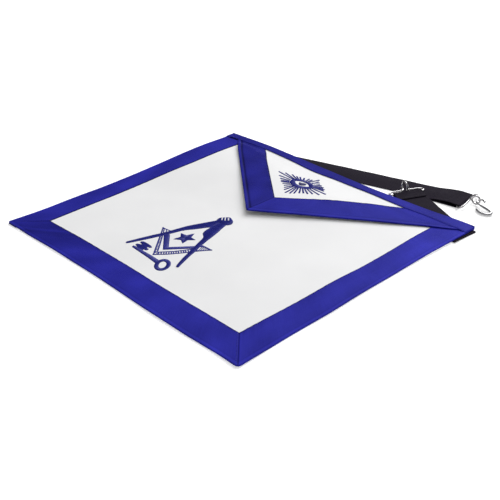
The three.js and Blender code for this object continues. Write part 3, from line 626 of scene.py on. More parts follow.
# the turned-under end of the ribbon shows beneath the lifted corner; its low tone 0.18 is painted shade
tuck = Build()
u_, v_ = np.meshgrid(np.linspace(-0.6, 19.0, 24), np.linspace(-0.9, 9.0, 8), indexing="ij")
xt, yt = drape(u_ + 0.9, v_ + 0.9 + 0.8 * smooth((u_ - 15) / 4))
zt = body_mid(xt, yt) - HALF - 0.62
tuck_v, tuck_f = shell(np.dstack([xt, yt, zt]).transpose(1, 0, 2), np.dstack([xt, yt, np.maximum(zt - 1.1, 0.02)]).transpose(1, 0, 2))
tuck.add(tuck_v, tuck_f, strip=tuck_v, tone=np.full(len(tuck_v), 0.18))
tuck.done("corner_tuck", RIBBON_MAT)
# stitch lines beside the inner edges and along the two mitres
top_w = HALF + LIE + RIBBON + 0.02


def on_body(x, y, w=top_w):
    x, y = drape(x, y)
    return np.stack([x, y, body_mid(x, y) + w], -1)


t = np.linspace(0, 1, 200)
for x_, y0, y1 in ((34.4, 34.4, 326.0), (WIDTH - 34.4, 34.4, 323.4)):
    stitch_run(stitches, on_body(np.full(200, x_), lerp(y0, y1, t)))
stitch_run(stitches, on_body(lerp(34.4, WIDTH - 34.4, t), np.full(200, 34.4)))
for x_, sgn in ((0, 1), (WIDTH, -1)):
    d = lerp(2.5, 34.0, t)
    stitch_run(stitches, on_body(x_ + sgn * (d + 2.1), d, top_w + 0.2), 2.6)

# ------------------------------------------------------------------ waist binding
ROUND = [(0.9 - 0.9 * math.sin(rad(a)), math.cos(rad(a))) for a in (15, 35, 55, 75)]
bind_top, bind_low = HALF + ROOT_RISE + LIE + 2 * RIBBON + 0.05, HALF + ROOT_RISE + LIE + RIBBON + 0.05


def binding_profile():
    v_top = [18.0, 17.8, 17.3, 16.4, 15, 13, 11, 9, 7, 5, 3.4, 2.2, 1.4, 0.9]
    outer = [(v_, bind_top + 0.10 * math.sin(math.pi * clamp((18 - v_) / 17))) for v_ in v_top]
    outer[0] = (18.0, bind_top - 0.36)
    outer[1] = (17.8, bind_top - 0.10)
    top = outer[-1][1]
    outer += [(v_, top - 0.9 + 0.9 * c_) for v_, c_ in ROUND]
    lower = -(HALF + LIE + RIBBON)
    outer += [(0.0, w_) for w_ in np.linspace(top - 0.9, lower + 0.8, 4)]
    outer += [(v_, lower + 0.8 - 0.8 * c_) for v_, c_ in ((0.15, 0.45), (0.45, 0.85))]
    outer += [(v_, lower) for v_ in (0.9, 2.4, 4.2, 5.0)]
    outer = np.array(outer)
    inner = outer.copy()
    n = len(v_top)
    inner[:n, 1] = outer[:n, 1] - RIBBON
    inner[0, 1] = outer[0, 1] - 0.12
    inner[n:n + 8, 0] += 0.47
    inner[n:n + 3, 1] -= 0.30
    inner[-7:, 1] = np.maximum(inner[-7:, 1], -(HALF + LIE))
    inner[-7:-4, 0] = 0.5
    inner[-6, 1], inner[-5] = -0.42, (0.64, -(HALF + LIE))
    return outer, inner


outer, inner = binding_profile()
xs = np.linspace(0, WIDTH, 170)
wave_a, wave_b = waves(61, 6, 8, 18), waves(62, 6, 26, 70)
leg = curve([0, 40, 80, 135, 170, 205, 240, 270, 302, 350, 406], [0.76, 0.74, 0.72, 0.80, 0.92, 0.84, 0.71, 0.70, 0.78, 0.90, 1.0])
grids = []
for prof in (outer, inner):
    V, S = np.meshgrid(prof[:, 0], xs)
    W = np.broadcast_to(prof[:, 1], V.shape).copy()
    front = W > 0.2
    ends = smooth((14 - S) / 13) * 0.95 + smooth((S - WIDTH + 11) / 10) * 0.95       # no flap under the two ends
    W -= np.where(front, ends * smooth((V - 0.2) / 1.5) * 1.2 + ends * 0.1, 0)
    W += np.where(front, 0.09 * wave_a(S, S * 0) * np.exp(-((V - 16) / 3.0) ** 2) + 0.08 * wave_b(S, V), 0)
    y = HEIGHT - np.where(front, V * lerp(1.0, leg(S), smooth(V / 6)), V) - np.where(front & (V > 10), 0.25 * wave_b(S, S * 0) * smooth((V - 10) / 8), 0)
    xr, yr = drape(*round_corners(S, y))
    z = body_mid(xr, yr) + W
    grids.append(np.stack([xr, yr, z], 2))
b = Build()
v, f = shell(*grids)
V, S = np.meshgrid(outer[:, 0] + np.where(outer[:, 0] < 0.05, -outer[:, 1], 0), xs)
strip = np.stack([S, V, np.zeros_like(V)], 2).reshape(-1, 3)
# painted shade: the binding is darker towards X 0, and its underside and inner faces get tone 0.3; the wave term is
# random tone
tone = (0.5 - 0.10 * (1 - smooth((S - 215) / 90)) + 0.05 * wave_b(S * 0.6, V)).ravel()
b.add(v, f, strip=np.concatenate([strip, strip + [0.3, 0.2, 0.5]]), tone=np.concatenate([tone, tone * 0 + 0.3]))
binding = b.done("waist_binding_ribbon", RIBBON_MAT, ["waist_binding"])
x = lerp(3.0, WIDTH - 3.0, np.linspace(0, 1, 300))
ends = smooth((14 - x) / 13) * 0.95 + smooth((x - WIDTH + 11) / 10) * 0.95
stitch_run(stitches, on_body(x, HEIGHT - 16.1 * leg(x), bind_top + 0.06 - ends * 1.2))

# ------------------------------------------------------------------ flap
dir_l, dir_r = (FLAP_LEFT - TIP) / np.linalg.norm(FLAP_LEFT - TIP), (FLAP_RIGHT - TIP) / np.linalg.norm(FLAP_RIGHT - TIP)
in_l, in_r = np.array([dir_l[1], -dir_l[0]]), np.array([-dir_r[1], dir_r[0]])
det = in_l[0] * in_r[1] - in_l[1] * in_r[0]
mitre = np.array([(in_r[1] - in_l[1]) / det, (in_l[0] - in_r[0]) / det])


def edge_x(direction, inward, v, y):
    return TIP[0] + inward[0] * v + direction[0] * (y - TIP[1] - inward[1] * v) / direction[1]


rows = np.concatenate([np.linspace(ROOT_TOP, FREE, 8), np.linspace(FREE, FLAT, 28)[1:], np.linspace(FLAT, TIP[1] + mitre[1] * 0.62 + 0.8, 54)[1:]])
top = []
for y_ in rows:
    a = max(edge_x(dir_l, in_l, 0.62, y_), 16.0)
    c = min(edge_x(dir_r, in_r, 0.62, y_), WIDTH - 12)
    top.append(np.stack([np.linspace(a, c, 130), np.full(130, y_)], 1))
top = np.array(top)
top = np.dstack(drape_flap(top[..., 0], top[..., 1]))
Z = flap_mid(top[..., 0], top[..., 1])
b = Build()
v, f = shell(np.dstack([top, Z + HALF]), np.dstack([top, Z - HALF]))
b.add(v, f)
flap = b.done("flap_leather", LEATHER, ["flap_panel"])


def flap_place(direction, inward, swell=0.0):
    wider = lambda s: swell * np.interp(s, [0, 0.32, 0.43, 0.6, 0.8, 0.93, 1], [0.24, 0.24, 0.20, 0.17, 0.087, 0.02, 0])

    def place(v, s):
        v = v * (1 + wider(s) * smooth(v / 30))
        inside = WIDTH - 7.0 if direction[0] > 0 else 7.0
        y1 = np.minimum(HEIGHT - 6.0, TIP[1] + inward[1] * v + (inside - TIP[0] - inward[0] * v) * direction[1] / direction[0])
        fx, fy = edge_x(direction, inward, v, y1), y1
        nx, ny = TIP[0] + mitre[0] * v + direction[0] * CUT, TIP[1] + mitre[1] * v + direction[1] * CUT
        return lerp(fx, nx, s), lerp(fy, ny, s)
    return place


def tip_round(place):
    """the flap's tip is turned in a little"""
    def f_(v, s):
        x, y = place(v, s)
        dx, dy = x - TIP[0], y - TIP[1]
        d = np.hypot(dx, dy)
        r0 = 5.0
        k = np.where(d < r0, 1 - 0.22 * (1 - d / r0) ** 2, 1)
        return x, y + np.where(d < r0, 0.9 * (1 - np.minimum(d / r0, 1)) ** 2, 0) + 0 * k
    return f_


len_l, len_r = np.linalg.norm(FLAP_LEFT - TIP), np.linalg.norm(FLAP_RIGHT - TIP)
# the left flap ribbon is painted darker as shade, with a stronger painted crease shade
flap_ribbons = [
    ribbon("flap_ribbon_left", "flap_border_left", tip_round(flap_place(dir_l, in_l)), flap_mid, len_l, 110, seed=31, crease=0.30, roll=0.34,
           mitre_end=(1,), material=RIBBON_SHADE, hem_at=4.8, painted_crease_shade=0.6, painted_crease_shade_width=1.5),
    ribbon("flap_ribbon_right", "flap_border_right", tip_round(flap_place(dir_r, in_r, 1.0)), flap_mid, len_r, 120, seed=32, crease=0.12, roll=0.10,
           mitre_end=(1,), raised=0.12, hem_at=5.4, painted_crease_shade=0.22),
]
for direction, inward, swell in ((dir_l, in_l, 0), (dir_r, in_r, 1.0)):
    place = flap_place(direction, inward, swell)
    s = np.linspace(0.01, 0.985, 200)
    x, y = drape_flap(*place(np.full(200, 34.4), s))
    stitch_run(stitches, np.stack([x, y, flap_mid(x, y) + top_w], 1))

seams = stitches.done("seam_stitches", BLUE_THREAD)

# ------------------------------------------------------------------ straps
TUNNEL = 1.1 + 0.25 + 0.5
LOW = 0.5


def sewn(x, y):
    return float(body_mid(np.array(x), np.array(y))) - HALF - 0.25 - 0.5


def half_turn(x, y, z, z_to, heading, edge_from, edge_to, steps=14):
    r, mid, d = abs(z_to - z) / 2, (z + z_to) / 2, math.copysign(1, z - z_to)
    return [(x + math.cos(rad(heading)) * r * math.sin(rad(p)), y + math.sin(rad(heading)) * r * math.sin(rad(p)),
             mid + d * r * math.cos(rad(p)), lerp(edge_from, edge_to, p / 180)) for p in np.linspace(0, 180, steps)]


def strap_piece(name, node, stations, arch, lean=lambda u: 0 * u):
    """webbing along stations (x, y, z, direction of its far edge); arch lifts its middle along its length"""
    st = np.array(stations, float)
    dist = np.concatenate([[0], np.cumsum(np.linalg.norm(np.diff(st[:, :3], axis=0), axis=1))])
    u = np.unique(np.concatenate([dist, np.arange(0, dist[-1], 1.6)]))
    st = np.stack([np.interp(u, dist, st[:, k]) for k in range(4)], 1)
    p = st[:, :3]
    tang = np.gradient(p, u, axis=0)
    tang /= np.linalg.norm(tang, axis=1)[:, None]
    across = np.stack([np.cos(rad(st[:, 3])), np.sin(rad(st[:, 3])), np.zeros(len(st))], 1)
    normal = np.cross(tang, across)
    normal /= np.linalg.norm(normal, axis=1)[:, None]
    h = STRAP / 2
    a = np.concatenate([[-h, -h + 0.15, -h + 0.5, -h + 1.0, -h + 1.6, -h + 2.4], np.linspace(-h + 3.5, h - 3.5, 27), [h - 2.4, h - 1.6, h - 1.0, h - 0.5, h - 0.15, h]])
    edge = np.minimum(h - np.abs(a), 1.2) / 1.2
    half = WEB / 2 * (0.62 + 0.38 * np.sin(edge * np.pi / 2)) + 0.10 * np.exp(-((h - np.abs(a) - 1.3) / 0.6) ** 2)
    half[0] = half[-1] = 0.22
    bend = arch(u)[:, None] * (1 - (a / h) ** 2)[None, :]
    wave = 0.10 * waves(77, 6, 20, 70)(u[:, None] + 0 * a[None, :], a[None, :] + 0 * u[:, None]) * smooth(arch(u)[:, None] * 2)
    grids = []
    for sgn in (1, -1):
        g = p[:, None, :] + across[:, None, :] * a[None, :, None] + normal[:, None, :] * (sgn * half)[None, :, None]
        g[:, :, 2] += bend + wave + lean(u)[:, None] * (a / h)[None, :]
        g[:, :, 2] = np.maximum(g[:, :, 2], 0.0)
        grids.append(g)
    v, f = shell(*grids)
    A, U = np.meshgrid(a, u)
    strip = np.stack([U, A, np.zeros_like(A)], 2).reshape(-1, 3)
    b = Build()
    b.add(v, f, strip=np.concatenate([strip, strip + [0.4, 0.5, 0.7]]))
    return b.done(name, WEBBING, [node]), float(u[-1])


long_run = [(9, 331.6), (60, 344.6), (120, 359.4), (180, 372.7), (225, 382.5), (265, 391.0), (300, 398.2), (318, 401.4), (331, 403.0), (345, 404.2)]
run_y = curve([r[0] for r in long_run], [r[1] for r in long_run])
edge_at = curve([0, 225, 300, 358.5], [13, 11.5, 9.5, 8])
z_at = lambda x: np.interp(x, [0, 304, 314, 318, 322, 331, 342, 350, 358.5], [LOW, LOW, 0.8, 1.15, 1.75, 3.1, 4.3, 4.6, LOW + 2 * TUNNEL + 0.1])
SEW_Y = 331
LONG_END, SHORT_END = (358.5, 404.8, 8), (296.8, 376.3, 153)
stations = [(x, SEW_Y, sewn(x, SEW_Y), 90) for x in (38, 31, 24, 17, 11)]
stations += half_turn(8.5, 331.3, sewn(8.5, SEW_Y), LOW, 180, 91, 102.5)
stations += [(x, float(run_y(x)), float(z_at(x)), 90 + float(edge_at(x))) for x in np.arange(14, 348.5, 3.0)]
stations += half_turn(*LONG_END[:2], LOW + 2 * TUNNEL, LOW, LONG_END[2], 98, 98)
stations += [(353, 404.1, LOW, 98), (346, 403.3, LOW, 98.3), (339, 402.5, LOW, 98.6), (330, 401.5, LOW, 98.8), (321.5, 400.5, LOW, 99.0)]
n_long = length_of([s_[:3] for s_ in stations])
strap_a, cut_a = strap_piece("strap_long_webbing", "strap_long", stations,
                             lambda u: 0.9 * smooth((u - 120) / 60) * smooth((n_long - 62 - u) / 30))

short_high = 1.8
short_run = [(409.6, 331.0, LOW, 84), (396, 333.4, LOW, 78), (380, 338.0, LOW, 74), (362, 345.0, LOW, 69), (348, 351.6, LOW, 66),
             (336, 357.4, 0.6, 64.5), (324, 363.2, 1.1, 63.5), (310, 369.8, 1.6, 63)]


def back(end, d):
    return end[0] - math.cos(rad(end[2])) * d, end[1] - math.sin(rad(end[2])) * d


stations = [(x, SEW_Y, sewn(x, SEW_Y), 90) for x in (364, 372, 380, 388, 395)]
stations += half_turn(409.6, 331, sewn(400, SEW_Y), LOW, 0, 90, 84, 10)
stations += short_run[1:]
stations += half_turn(*SHORT_END[:2], short_high, short_high + 2 * TUNNEL, SHORT_END[2], 63, 63)
stations += [(*back(SHORT_END, 4.5), short_high + 2.3, 63), (*back(SHORT_END, 9), short_high + 1.6, 63), (*back(SHORT_END, 14), short_high + 1.1, 63)]
n_short = length_of([s_[:3] for s_ in stations])
strap_b, cut_b = strap_piece("strap_short_webbing", "strap_short", stations, lambda u: 0 * u,
                             lambda u: 0.5 * smooth((u - 95) / 20) * smooth((n_short - 34 - u) / 12))


def cross_stitches(origin, heading, z, d, n=12, width=30.0):
    """a row of stitches across a strap, d behind the end of its hem"""
    ahead = np.array([math.cos(rad(heading)), math.sin(rad(heading)), 0])
    side = np.array([-ahead[1], ahead[0], 0])
    for i in range(n):
        c = np.array([origin[0], origin[1], z]) - ahead * d + side * lerp(-width / 2, width / 2, (i + 0.5) / n)
        stitch(black_stitches, c - side * 1.0, c + side * 1.0, (0, 0, 1), 0.26, rng.uniform(0.4, 0.9))


cross_stitches(LONG_END, LONG_END[2], 2.75, 24.0)
cross_stitches(SHORT_END, SHORT_END[2], short_high + 1.7, 12.0)
black_stitches.done("hem_stitches", BLACK_THREAD)

# ------------------------------------------------------------------ wire bails and hook
WIRE, RING = 1.1, 5.5
BAIL_HALF = [(0, 1.2, 0), (0, 8, 0), (0, 17.5, 0), (0.5, 20.6, 0.02), (2.6, 22.2, 0.1), (5.2, 21.4, 0.22), (6.8, 18.6, 0.36), (7.2, 14, 0.52),
             (7.4, 8, 0.76), (7.5, 4.2, 0.92)]


def bail(end, z, foot, rise, base, side):
    ahead = np.array([math.cos(rad(end[2])), math.sin(rad(end[2])), 0])
    left = np.array([-ahead[1], ahead[0], 0])

    def at(u, n, h):
        return np.array([end[0], end[1], z + h]) + ahead * u + left * n
    cu, ch = foot - RING * math.cos(rad(base)), rise - RING * math.sin(rad(base))
    first = [at(u, n + side * float(smooth(u / 7)), r * rise) for u, n, r in BAIL_HALF]
    last = [at(u, -n + side * float(smooth(u / 7)), r * rise) for u, n, r in BAIL_HALF][::-1]
    loop = [at(cu + RING * math.cos(rad(base + a)), side + lerp(1.75, -1.75, a / 360), ch + RING * math.sin(rad(base + a)))
            for a in np.linspace(18, 342, 13)]
    return first + loop + last


def wire_piece(name, node, points, radius, material, count, sides=16, radii=None):
    p = catmull(points, count)
    v, f = tube(p, radius if radii is None else radii(np.linspace(0, 1, count)), sides)
    b = Build()
    b.add(v, f)
    return b.done(name, material, [node])


wire_piece("bail_wire_long", "bail_long", bail(LONG_END, LOW + TUNNEL, 7.9, 4.9, 180, 0.1), WIRE, CHROME, 240)
wire_piece("bail_wire_short", "bail_short", bail(SHORT_END, short_high + TUNNEL, 7.4, 0.3, 262, 0), WIRE, CHROME, 240)
HOOK = [(382.3, 409.0, 6.2), (380.6, 411.5, 6.7), (377.2, 412.4, 7.0), (374.1, 410.6, 6.9), (373.4, 407.3, 6.6), (375.7, 404.1, 5.9),
        (380.6, 403.0, 4.8), (387.7, 402.8, 3.3), (394.2, 401.4, 2.35), (398.6, 398.3, 2.0), (399.2, 394.3, 1.9), (395.6, 391.3, 1.8),
        (389.2, 391.0, 1.7), (383.2, 393.6, 1.65), (379.6, 397.0, 1.65)]
hook_r = curve([0, 0.03, 0.10, 0.30, 0.42, 0.55, 0.72, 0.86, 0.96, 1.0], [0.9, 1.5, 1.25, 1.25, 1.75, 1.9, 1.75, 1.55, 1.35, 0.7])
wire_piece("snake_hook_cast", "snake_hook", HOOK, 1.35, CAST, 150, 16, lambda s: hook_r(s))

# ------------------------------------------------------------------ embroidery
PITCH = 0.46


def satin(build, left, right, surface, height=0.75, pitch=PITCH, across=7, seed=0, ragged=0.10, sink=0.12, fill=1.0):
    """threads laid side by side from a left to a right edge; both edges are lines of the same number of points"""
    left, right = np.asarray(left, float), np.asarray(right, float)
    centre = (left + right) / 2
    d = np.concatenate([[0], np.cumsum(np.linalg.norm(np.diff(centre, axis=0), axis=1))])
    n = max(2, int(round(d[-1] / pitch)))
    r = np.random.default_rng(seed * 7 + 5)
    per = 4
    k = np.arange(n * per + 1)
    u = k / per * d[-1] / n
    phase = (k % per) / per
    ridge = np.abs(np.sin(np.pi * phase))
    which = np.minimum(k // per, n - 1)
    L = np.stack([np.interp(u, d, left[:, i]) for i in (0, 1)], 1)
    R = np.stack([np.interp(u, d, right[:, i]) for i in (0, 1)], 1)
    wide = np.linalg.norm(R - L, axis=1)
    jag_l, jag_r = r.uniform(-ragged, ragged, n)[which], r.uniform(-ragged, ragged, n)[which]
    unit = (R - L) / np.maximum(wide, 1e-6)[:, None]
    inset = (1 - ridge) * 0.10
    L = L + unit * (inset + jag_l)[:, None]
    R = R - unit * (inset + jag_r)[:, None]
    a = np.linspace(0, 1, across)
    dome = (1 - np.abs(2 * a - 1) ** 2.6) ** 0.6
    top = height * np.minimum(1, 0.35 + wide / 3.2) * (0.74 + 0.26 * ridge) * (1 + 0.08 * r.uniform(-1, 1, n)[which])
    if fill < 1:                                                    # open stitches: leather shows between them
        top = np.where(ridge < 0.3, -0.05, top * 0.5)
    soft_end = np.clip(np.minimum(k, k[-1] - k) / 2.0, 0.25, 1)
    top = top * soft_end
    XY = L[:, None, :] + (R - L)[:, None, :] * a[None, :, None]
    Z = surface(XY[..., 0], XY[..., 1])
    T = Z + top[:, None] * dome[None, :] - sink * (1 - dome)[None, :] * 0.4
    lower = surface(XY[:, [across - 1, 0], 0], XY[:, [across - 1, 0], 1]) - sink
    ring = np.concatenate([np.dstack([XY, T]), np.dstack([XY[:, [across - 1, 0]], lower])], 1)
    # tone: random per thread, with painted shade in the grooves between threads
    tone = r.uniform(0.25, 0.85, n)[which] * (0.45 + 0.55 * ridge)
    v, f = loft(ring)
    build.add(v, f, tone=np.repeat(tone, across + 2))


def figure(x0, y0, turn, surface_z):
    c, s = math.cos(rad(turn)), math.sin(rad(turn))

    def put(points):
        p = np.asarray(points, float)
        return np.stack([x0 + p[..., 0] * c - p[..., 1] * s, y0 + p[..., 0] * s + p[..., 1] * c], -1)
    return put, surface_z


put, leather_top = figure(191.8, 68.9, 1.9, lambda x, y: body_mid(x, y) + HALF)
seed = 100


def column(build, left, right, surface=None, count=40, **kw):
    """satin column between two lines given in the figure's own frame"""
    global seed
    seed += 1
    satin(build, put(resample(left, count)), put(resample(right, count)), surface or leather_top, seed=seed, **kw)


def paired(build, pairs, surface=None, **kw):
    """satin column through pairs of points, outer and inner"""
    global seed
    seed += 1
    a = np.array([p[:2] for p in pairs], float)
    c = np.array([p[2:] for p in pairs], float)
    satin(build, put(a), put(c), surface or leather_top, seed=seed, **kw)


tools = Build()
# compass legs: height on the figure, outer edge, inner edge
LEG_FAR = [(104, -8.7, 0), (100, -10.8, 0), (96, -12.8, 0), (92, -14.7, 0), (88, -16.5, 0), (84, -18.5, -2.4), (80, -20.4, -4.7), (76, -22.2, -7.3),
           (72, -23.6, -10), (68, -24.9, -13.2), (64, -25.9, -16), (60, -27, -18), (56, -27.9, -19.5), (52, -28.9, -20.8), (48, -30, -22),
           (44, -31.2, -23.4), (40, -32.6, -25), (36, -34.2, -26.5), (32, -35.7, -27.9), (28, -37.2, -29.3), (24, -38.6, -30.8), (20, -39.9, -32.4),
           (16, -41.1, -34), (12, -42.3, -35.8), (8, -43.4, -37.5), (4, -44.6, -39.3), (1.5, -45, -40.6), (0.2, -44.2, -41.6)]
LEG_NEAR = [(104, 9.4, 0), (100, 10.5, 0), (96, 11.8, 0), (92, 13, 0), (88, 14.8, 0), (84, 16.2, 0.2), (80, 17.5, 0.6), (76, 18.7, 1.8), (73, 19.5, 3.2),
            (71, 20, 4.6), (69, 20.5, 7.4), (67, 21, 10.3), (65, 21.6, 12.3), (62, 22.4, 13.8), (58, 23.6, 15.4), (54, 24.8, 17), (50, 26.2, 18.7),
            (46, 27.8, 20.3), (42, 29.6, 22), (38, 31.1, 23.8), (34, 32.4, 25.5), (30, 33.7, 27.1), (26, 35.1, 28.8), (22, 36.7, 30.4),
            (18, 38.3, 32.1), (14, 39.8, 34), (10, 41.4, 36), (6, 43, 38.1), (4, 43.9, 39.3), (2.6, 43.4, 40.6)]
# ruler: outer and inner edge of both arms
RULER_OUT = {-1: [(1.7, 2.0), (-12.0, 17.2), (-28.0, 35.0), (-42.4, 51.2)], 1: [(1.7, 2.0), (14.2, 13.9), (26.2, 29.6), (33.5, 40.6), (42.8, 51.6)]}
RULER_IN = {-1: [(0.6, 10.9), (-9.0, 21.4), (-20.0, 33.0), (-28.5, 42.0)], 1: [(0.6, 10.9), (12.0, 22.9), (18.7, 32.4), (23.2, 40.0)]}


def shift_line(line, amount, sgn):
    """a line moved sideways, towards the inside of the square"""
    p = resample(line, 40)
    t_ = np.gradient(p, axis=0)
    t_ /= np.linalg.norm(t_, axis=1)[:, None]
    return p + np.stack([-t_[:, 1], t_[:, 0]], 1) * amount * sgn


for sgn in (-1, 1):
    column(tools, RULER_OUT[sgn], shift_line(RULER_OUT[sgn], 2.0, sgn), height=0.55)
    column(tools, shift_line(RULER_IN[sgn], -1.9, sgn), RULER_IN[sgn], height=0.55)
    lo_line, hi_line = resample(shift_line(RULER_OUT[sgn], 1.3, sgn), 200), resample(shift_line(RULER_IN[sgn], -1.2, sgn), 200)
    n_ticks = 18
    for i in range(n_ticks):
        q = lo_line[int((0.06 + i * 0.042) * 200)]
        j = int(np.argmin(np.linalg.norm(hi_line - q, axis=1)))
        e = hi_line[j]
        d = (e - q) / np.linalg.norm(e - q)
        side = np.array([-d[1], d[0]]) * 0.86
        deep = q + (e - q) * (1.0 if sgn > 0 else (1.0 if i % 3 == 0 else 0.62))
        column(tools, [q - side, deep - side], [q + side, deep + side], count=6, height=0.4, pitch=0.42)
# end of the far arm: closed edge and two slanting lines
column(tools, [(-42.6, 51.6), (-28.6, 52.2)], [(-41.2, 49.8), (-29.0, 50.4)], height=0.55)
column(tools, [(-38.6, 50.0), (-32.0, 43.2)], [(-37.2, 50.6), (-30.6, 44.2)], height=0.45)
column(tools, [(-34.6, 50.2), (-30.2, 45.8)], [(-33.4, 50.8), (-29.2, 47.0)], height=0.45)
# end of the near arm: solid upper edge, open filling below
column(tools, [(23.8, 53.0), (31.0, 53.0), (42.8, 52.2)], [(26.0, 47.0), (31.0, 50.0), (42.4, 50.6)], height=0.6)
for q, e in (((29.4, 48.8), (31.6, 40.6)), ((31.4, 49.6), (33.2, 42.0)), ((33.4, 50.2), (35.0, 44.2)), ((35.4, 50.4), (36.8, 46.0)), ((37.4, 50.6), (38.6, 47.8))):
    q, e = np.array(q), np.array(e)
    d = (e - q) / np.linalg.norm(e - q)
    side = np.array([-d[1], d[0]]) * 0.66
    column(tools, [q - side, e - side], [q + side, e + side], count=6, height=0.4)
# solid inner line
LINE_OUT = {-1: [(0.8, 16.8), (-26.3, 39.8)], 1: [(0.8, 16.8), (24.5, 41.4)]}
LINE_IN = {-1: [(0.6, 25.8), (-21.6, 45.6)], 1: [(0.6, 25.8), (20.4, 45.8)]}
for sgn in (-1, 1):
    column(tools, LINE_OUT[sgn], LINE_IN[sgn], height=0.75)
paired(tools, [(o, y_, i_ + (0.9 if y_ >= 88 else 0.0), y_) for y_, o, i_ in LEG_FAR], height=0.95)
paired(tools, [(o, y_, i_ - (0.9 if y_ >= 88 else 0.0), y_) for y_, o, i_ in LEG_NEAR], height=0.95)
# head, worked from side to side
HEAD = [(102.4, -7.4, 9.4), (104.5, -9.0, 11.4), (107, -10.1, 12.3), (109, -10.5, 12.3), (111, -10.5, 11.6), (113, -9.6, 10.2), (115, -7.6, 8.1),
        (116.6, -5.0, 5.6), (117.8, -1.8, 2.4)]
over_legs = lambda x, y: body_mid(x, y) + HALF + 0.25
paired(tools, [(l_, y_, r_, y_) for y_, l_, r_ in HEAD], height=1.1, surface=over_legs)
tool_piece = tools.done("embroidered_square_compasses", NAVY, ["emblem_square_compasses"])

marks = Build()
on_head = lambda x, y: body_mid(x, y) + HALF + 1.26
for (a0, b0), (a1, b1) in (((-7.2, 112.3), (-2.4, 107.0)), ((-4.2, 114.3), (1.2, 108.6)), ((-0.4, 115.4), (4.4, 111.2))):
    column(marks, [(a0 - 0.6, b0 - 0.6), (a1 - 0.6, b1 - 0.6)], [(a0 + 0.6, b0 + 0.6), (a1 + 0.6, b1 + 0.6)], count=8, height=0.4, surface=on_head)
marks.done("embroidered_head_marks", PALE)

star = Build()
mid_ = np.array([-2.0, 51.5])
for i in range(5):
    a0 = rad(90 + 72 * i)
    tipp = mid_ + 13.4 * np.array([math.cos(a0), math.sin(a0)])
    for sgn in (-1, 1):
        a1 = a0 + sgn * rad(36)
        notch = mid_ + 6.8 * np.array([math.cos(a1), math.sin(a1)])
        over = np.array([-math.sin(a0), math.cos(a0)]) * -sgn * 0.35
        column(star, [notch, tipp], [mid_ - (tipp - mid_) * 0.05 + over, tipp + over * 0.3], count=8, height=0.8)
star.done("embroidered_star", NAVY, ["emblem_star"])

key = Build()
ang = np.linspace(0, 2 * math.pi, 72)
ct, st_ = math.cos(rad(-48)), math.sin(rad(-48))


def oval(rx, ry, cx=26.9, cy=-4.3):
    x, y = rx * np.cos(ang), ry * np.sin(ang)
    return np.stack([cx + x * ct - y * st_, cy + x * st_ + y * ct], 1)


satin(key, put(oval(12.7, 8.9)), put(oval(6.8, 3.9)), leather_top, height=0.9, seed=90)
column(key, [(19.6, -7.6), (0, -4.9), (-11.3, -3.6), (-21.3, -2.5), (-30.4, -1.5)], [(18.6, -0.4), (0, 1.2), (-11.3, 1.6), (-21.3, 2.6), (-31.2, 2.2)], height=0.85)
paired(key, [(-11.6, 3.7, -31.4, 3.7), (-10.7, 5.2, -32.6, 5.2), (-10.9, 6.8, -32.8, 6.8), (-12.2, 8.1, -31.8, 8.1)], height=0.85)
paired(key, [(-13.0, 10.2, -31.6, 10.4), (-12.1, 11.8, -33.2, 12.2), (-12.4, 13.2, -33.2, 14.0), (-15.0, 14.0, -31.4, 15.2)], height=0.85)
paired(key, [(-15.0, 1.4, -28.0, 1.4), (-16.0, 6.0, -27.6, 6.0), (-16.4, 12.2, -27.8, 12.2)], height=0.8)
key.done("embroidered_key", NAVY, ["emblem_key"])

# eye with rays on the flap
put, flap_top = figure(195.2, 298.6, -1.0, lambda x, y: flap_mid(x, y) + HALF)
ang = np.linspace(0, 2 * math.pi, 90)
LID = (-1.6, 0.9, 18.2, 11.6)
wob = 1 + 0.02 * np.sin(3 * ang + 1) + 0.015 * np.sin(7 * ang)
lid_out = np.stack([LID[0] + LID[2] * wob * np.cos(ang), LID[1] + LID[3] * wob * np.sin(ang)], 1)
point = np.abs(np.cos(ang)) ** 5                       # the opening is pointed at both corners
lid_in = np.stack([-1.4 + 10.0 * np.cos(ang) + 1.4 * point * np.sign(np.cos(ang)), 1.2 + 5.2 * np.sin(ang) * (1 - 0.35 * point)], 1)
eye = Build()
satin(eye, put(lid_out), put(lid_in), flap_top, height=0.95, seed=300)
TIPS = [(39.4, 0.9), (31.6, 6.1), (28.9, 10), (23.9, 13.5), (17.8, 16.4), (9.9, 20.9), (3.2, 27.2), (-2.4, 20.2), (-6.9, 19.6), (-12.5, 16.3),
        (-18.2, 14.6), (-22.4, 12.6), (-30.0, 12.3), (-39.3, 9.4), (-47.6, 5.5), (-38.7, -2.3), (-31.5, -7.2), (-27.1, -10.5), (-24.2, -12.9),
        (-19.2, -15.1), (-13.7, -17.9), (-9, -21.8), (-4.7, -25.7), (2, -30.7), (7, -28.0), (10.9, -24.6), (14.9, -19.6), (18.9, -16.3), (23.9, -14.0),
        (28.3, -10), (35.5, -6.1)]
for i, (a0, b0) in enumerate(TIPS):
    q = math.atan2((b0 - LID[1]) / LID[3], (a0 - LID[0]) / LID[2])
    end = np.array([a0, b0])
    foot = np.array([LID[0] + (LID[2] + 0.1) * math.cos(q), LID[1] + (LID[3] + 0.1) * math.sin(q)])
    d = end - foot
    s_ = np.linalg.norm(d)
    side = np.array([-d[1], d[0]]) / s_
    w0, w1 = 1.10, 1.22
    lft, rgt = [foot - side * w0, end - side * w1], [foot + side * w0, end + side * w1]
    satin(eye, put(resample(lft, 6)), put(resample(rgt, 6)), flap_top, height=0.7, pitch=0.42, across=6, seed=400 + i, ragged=0.05)
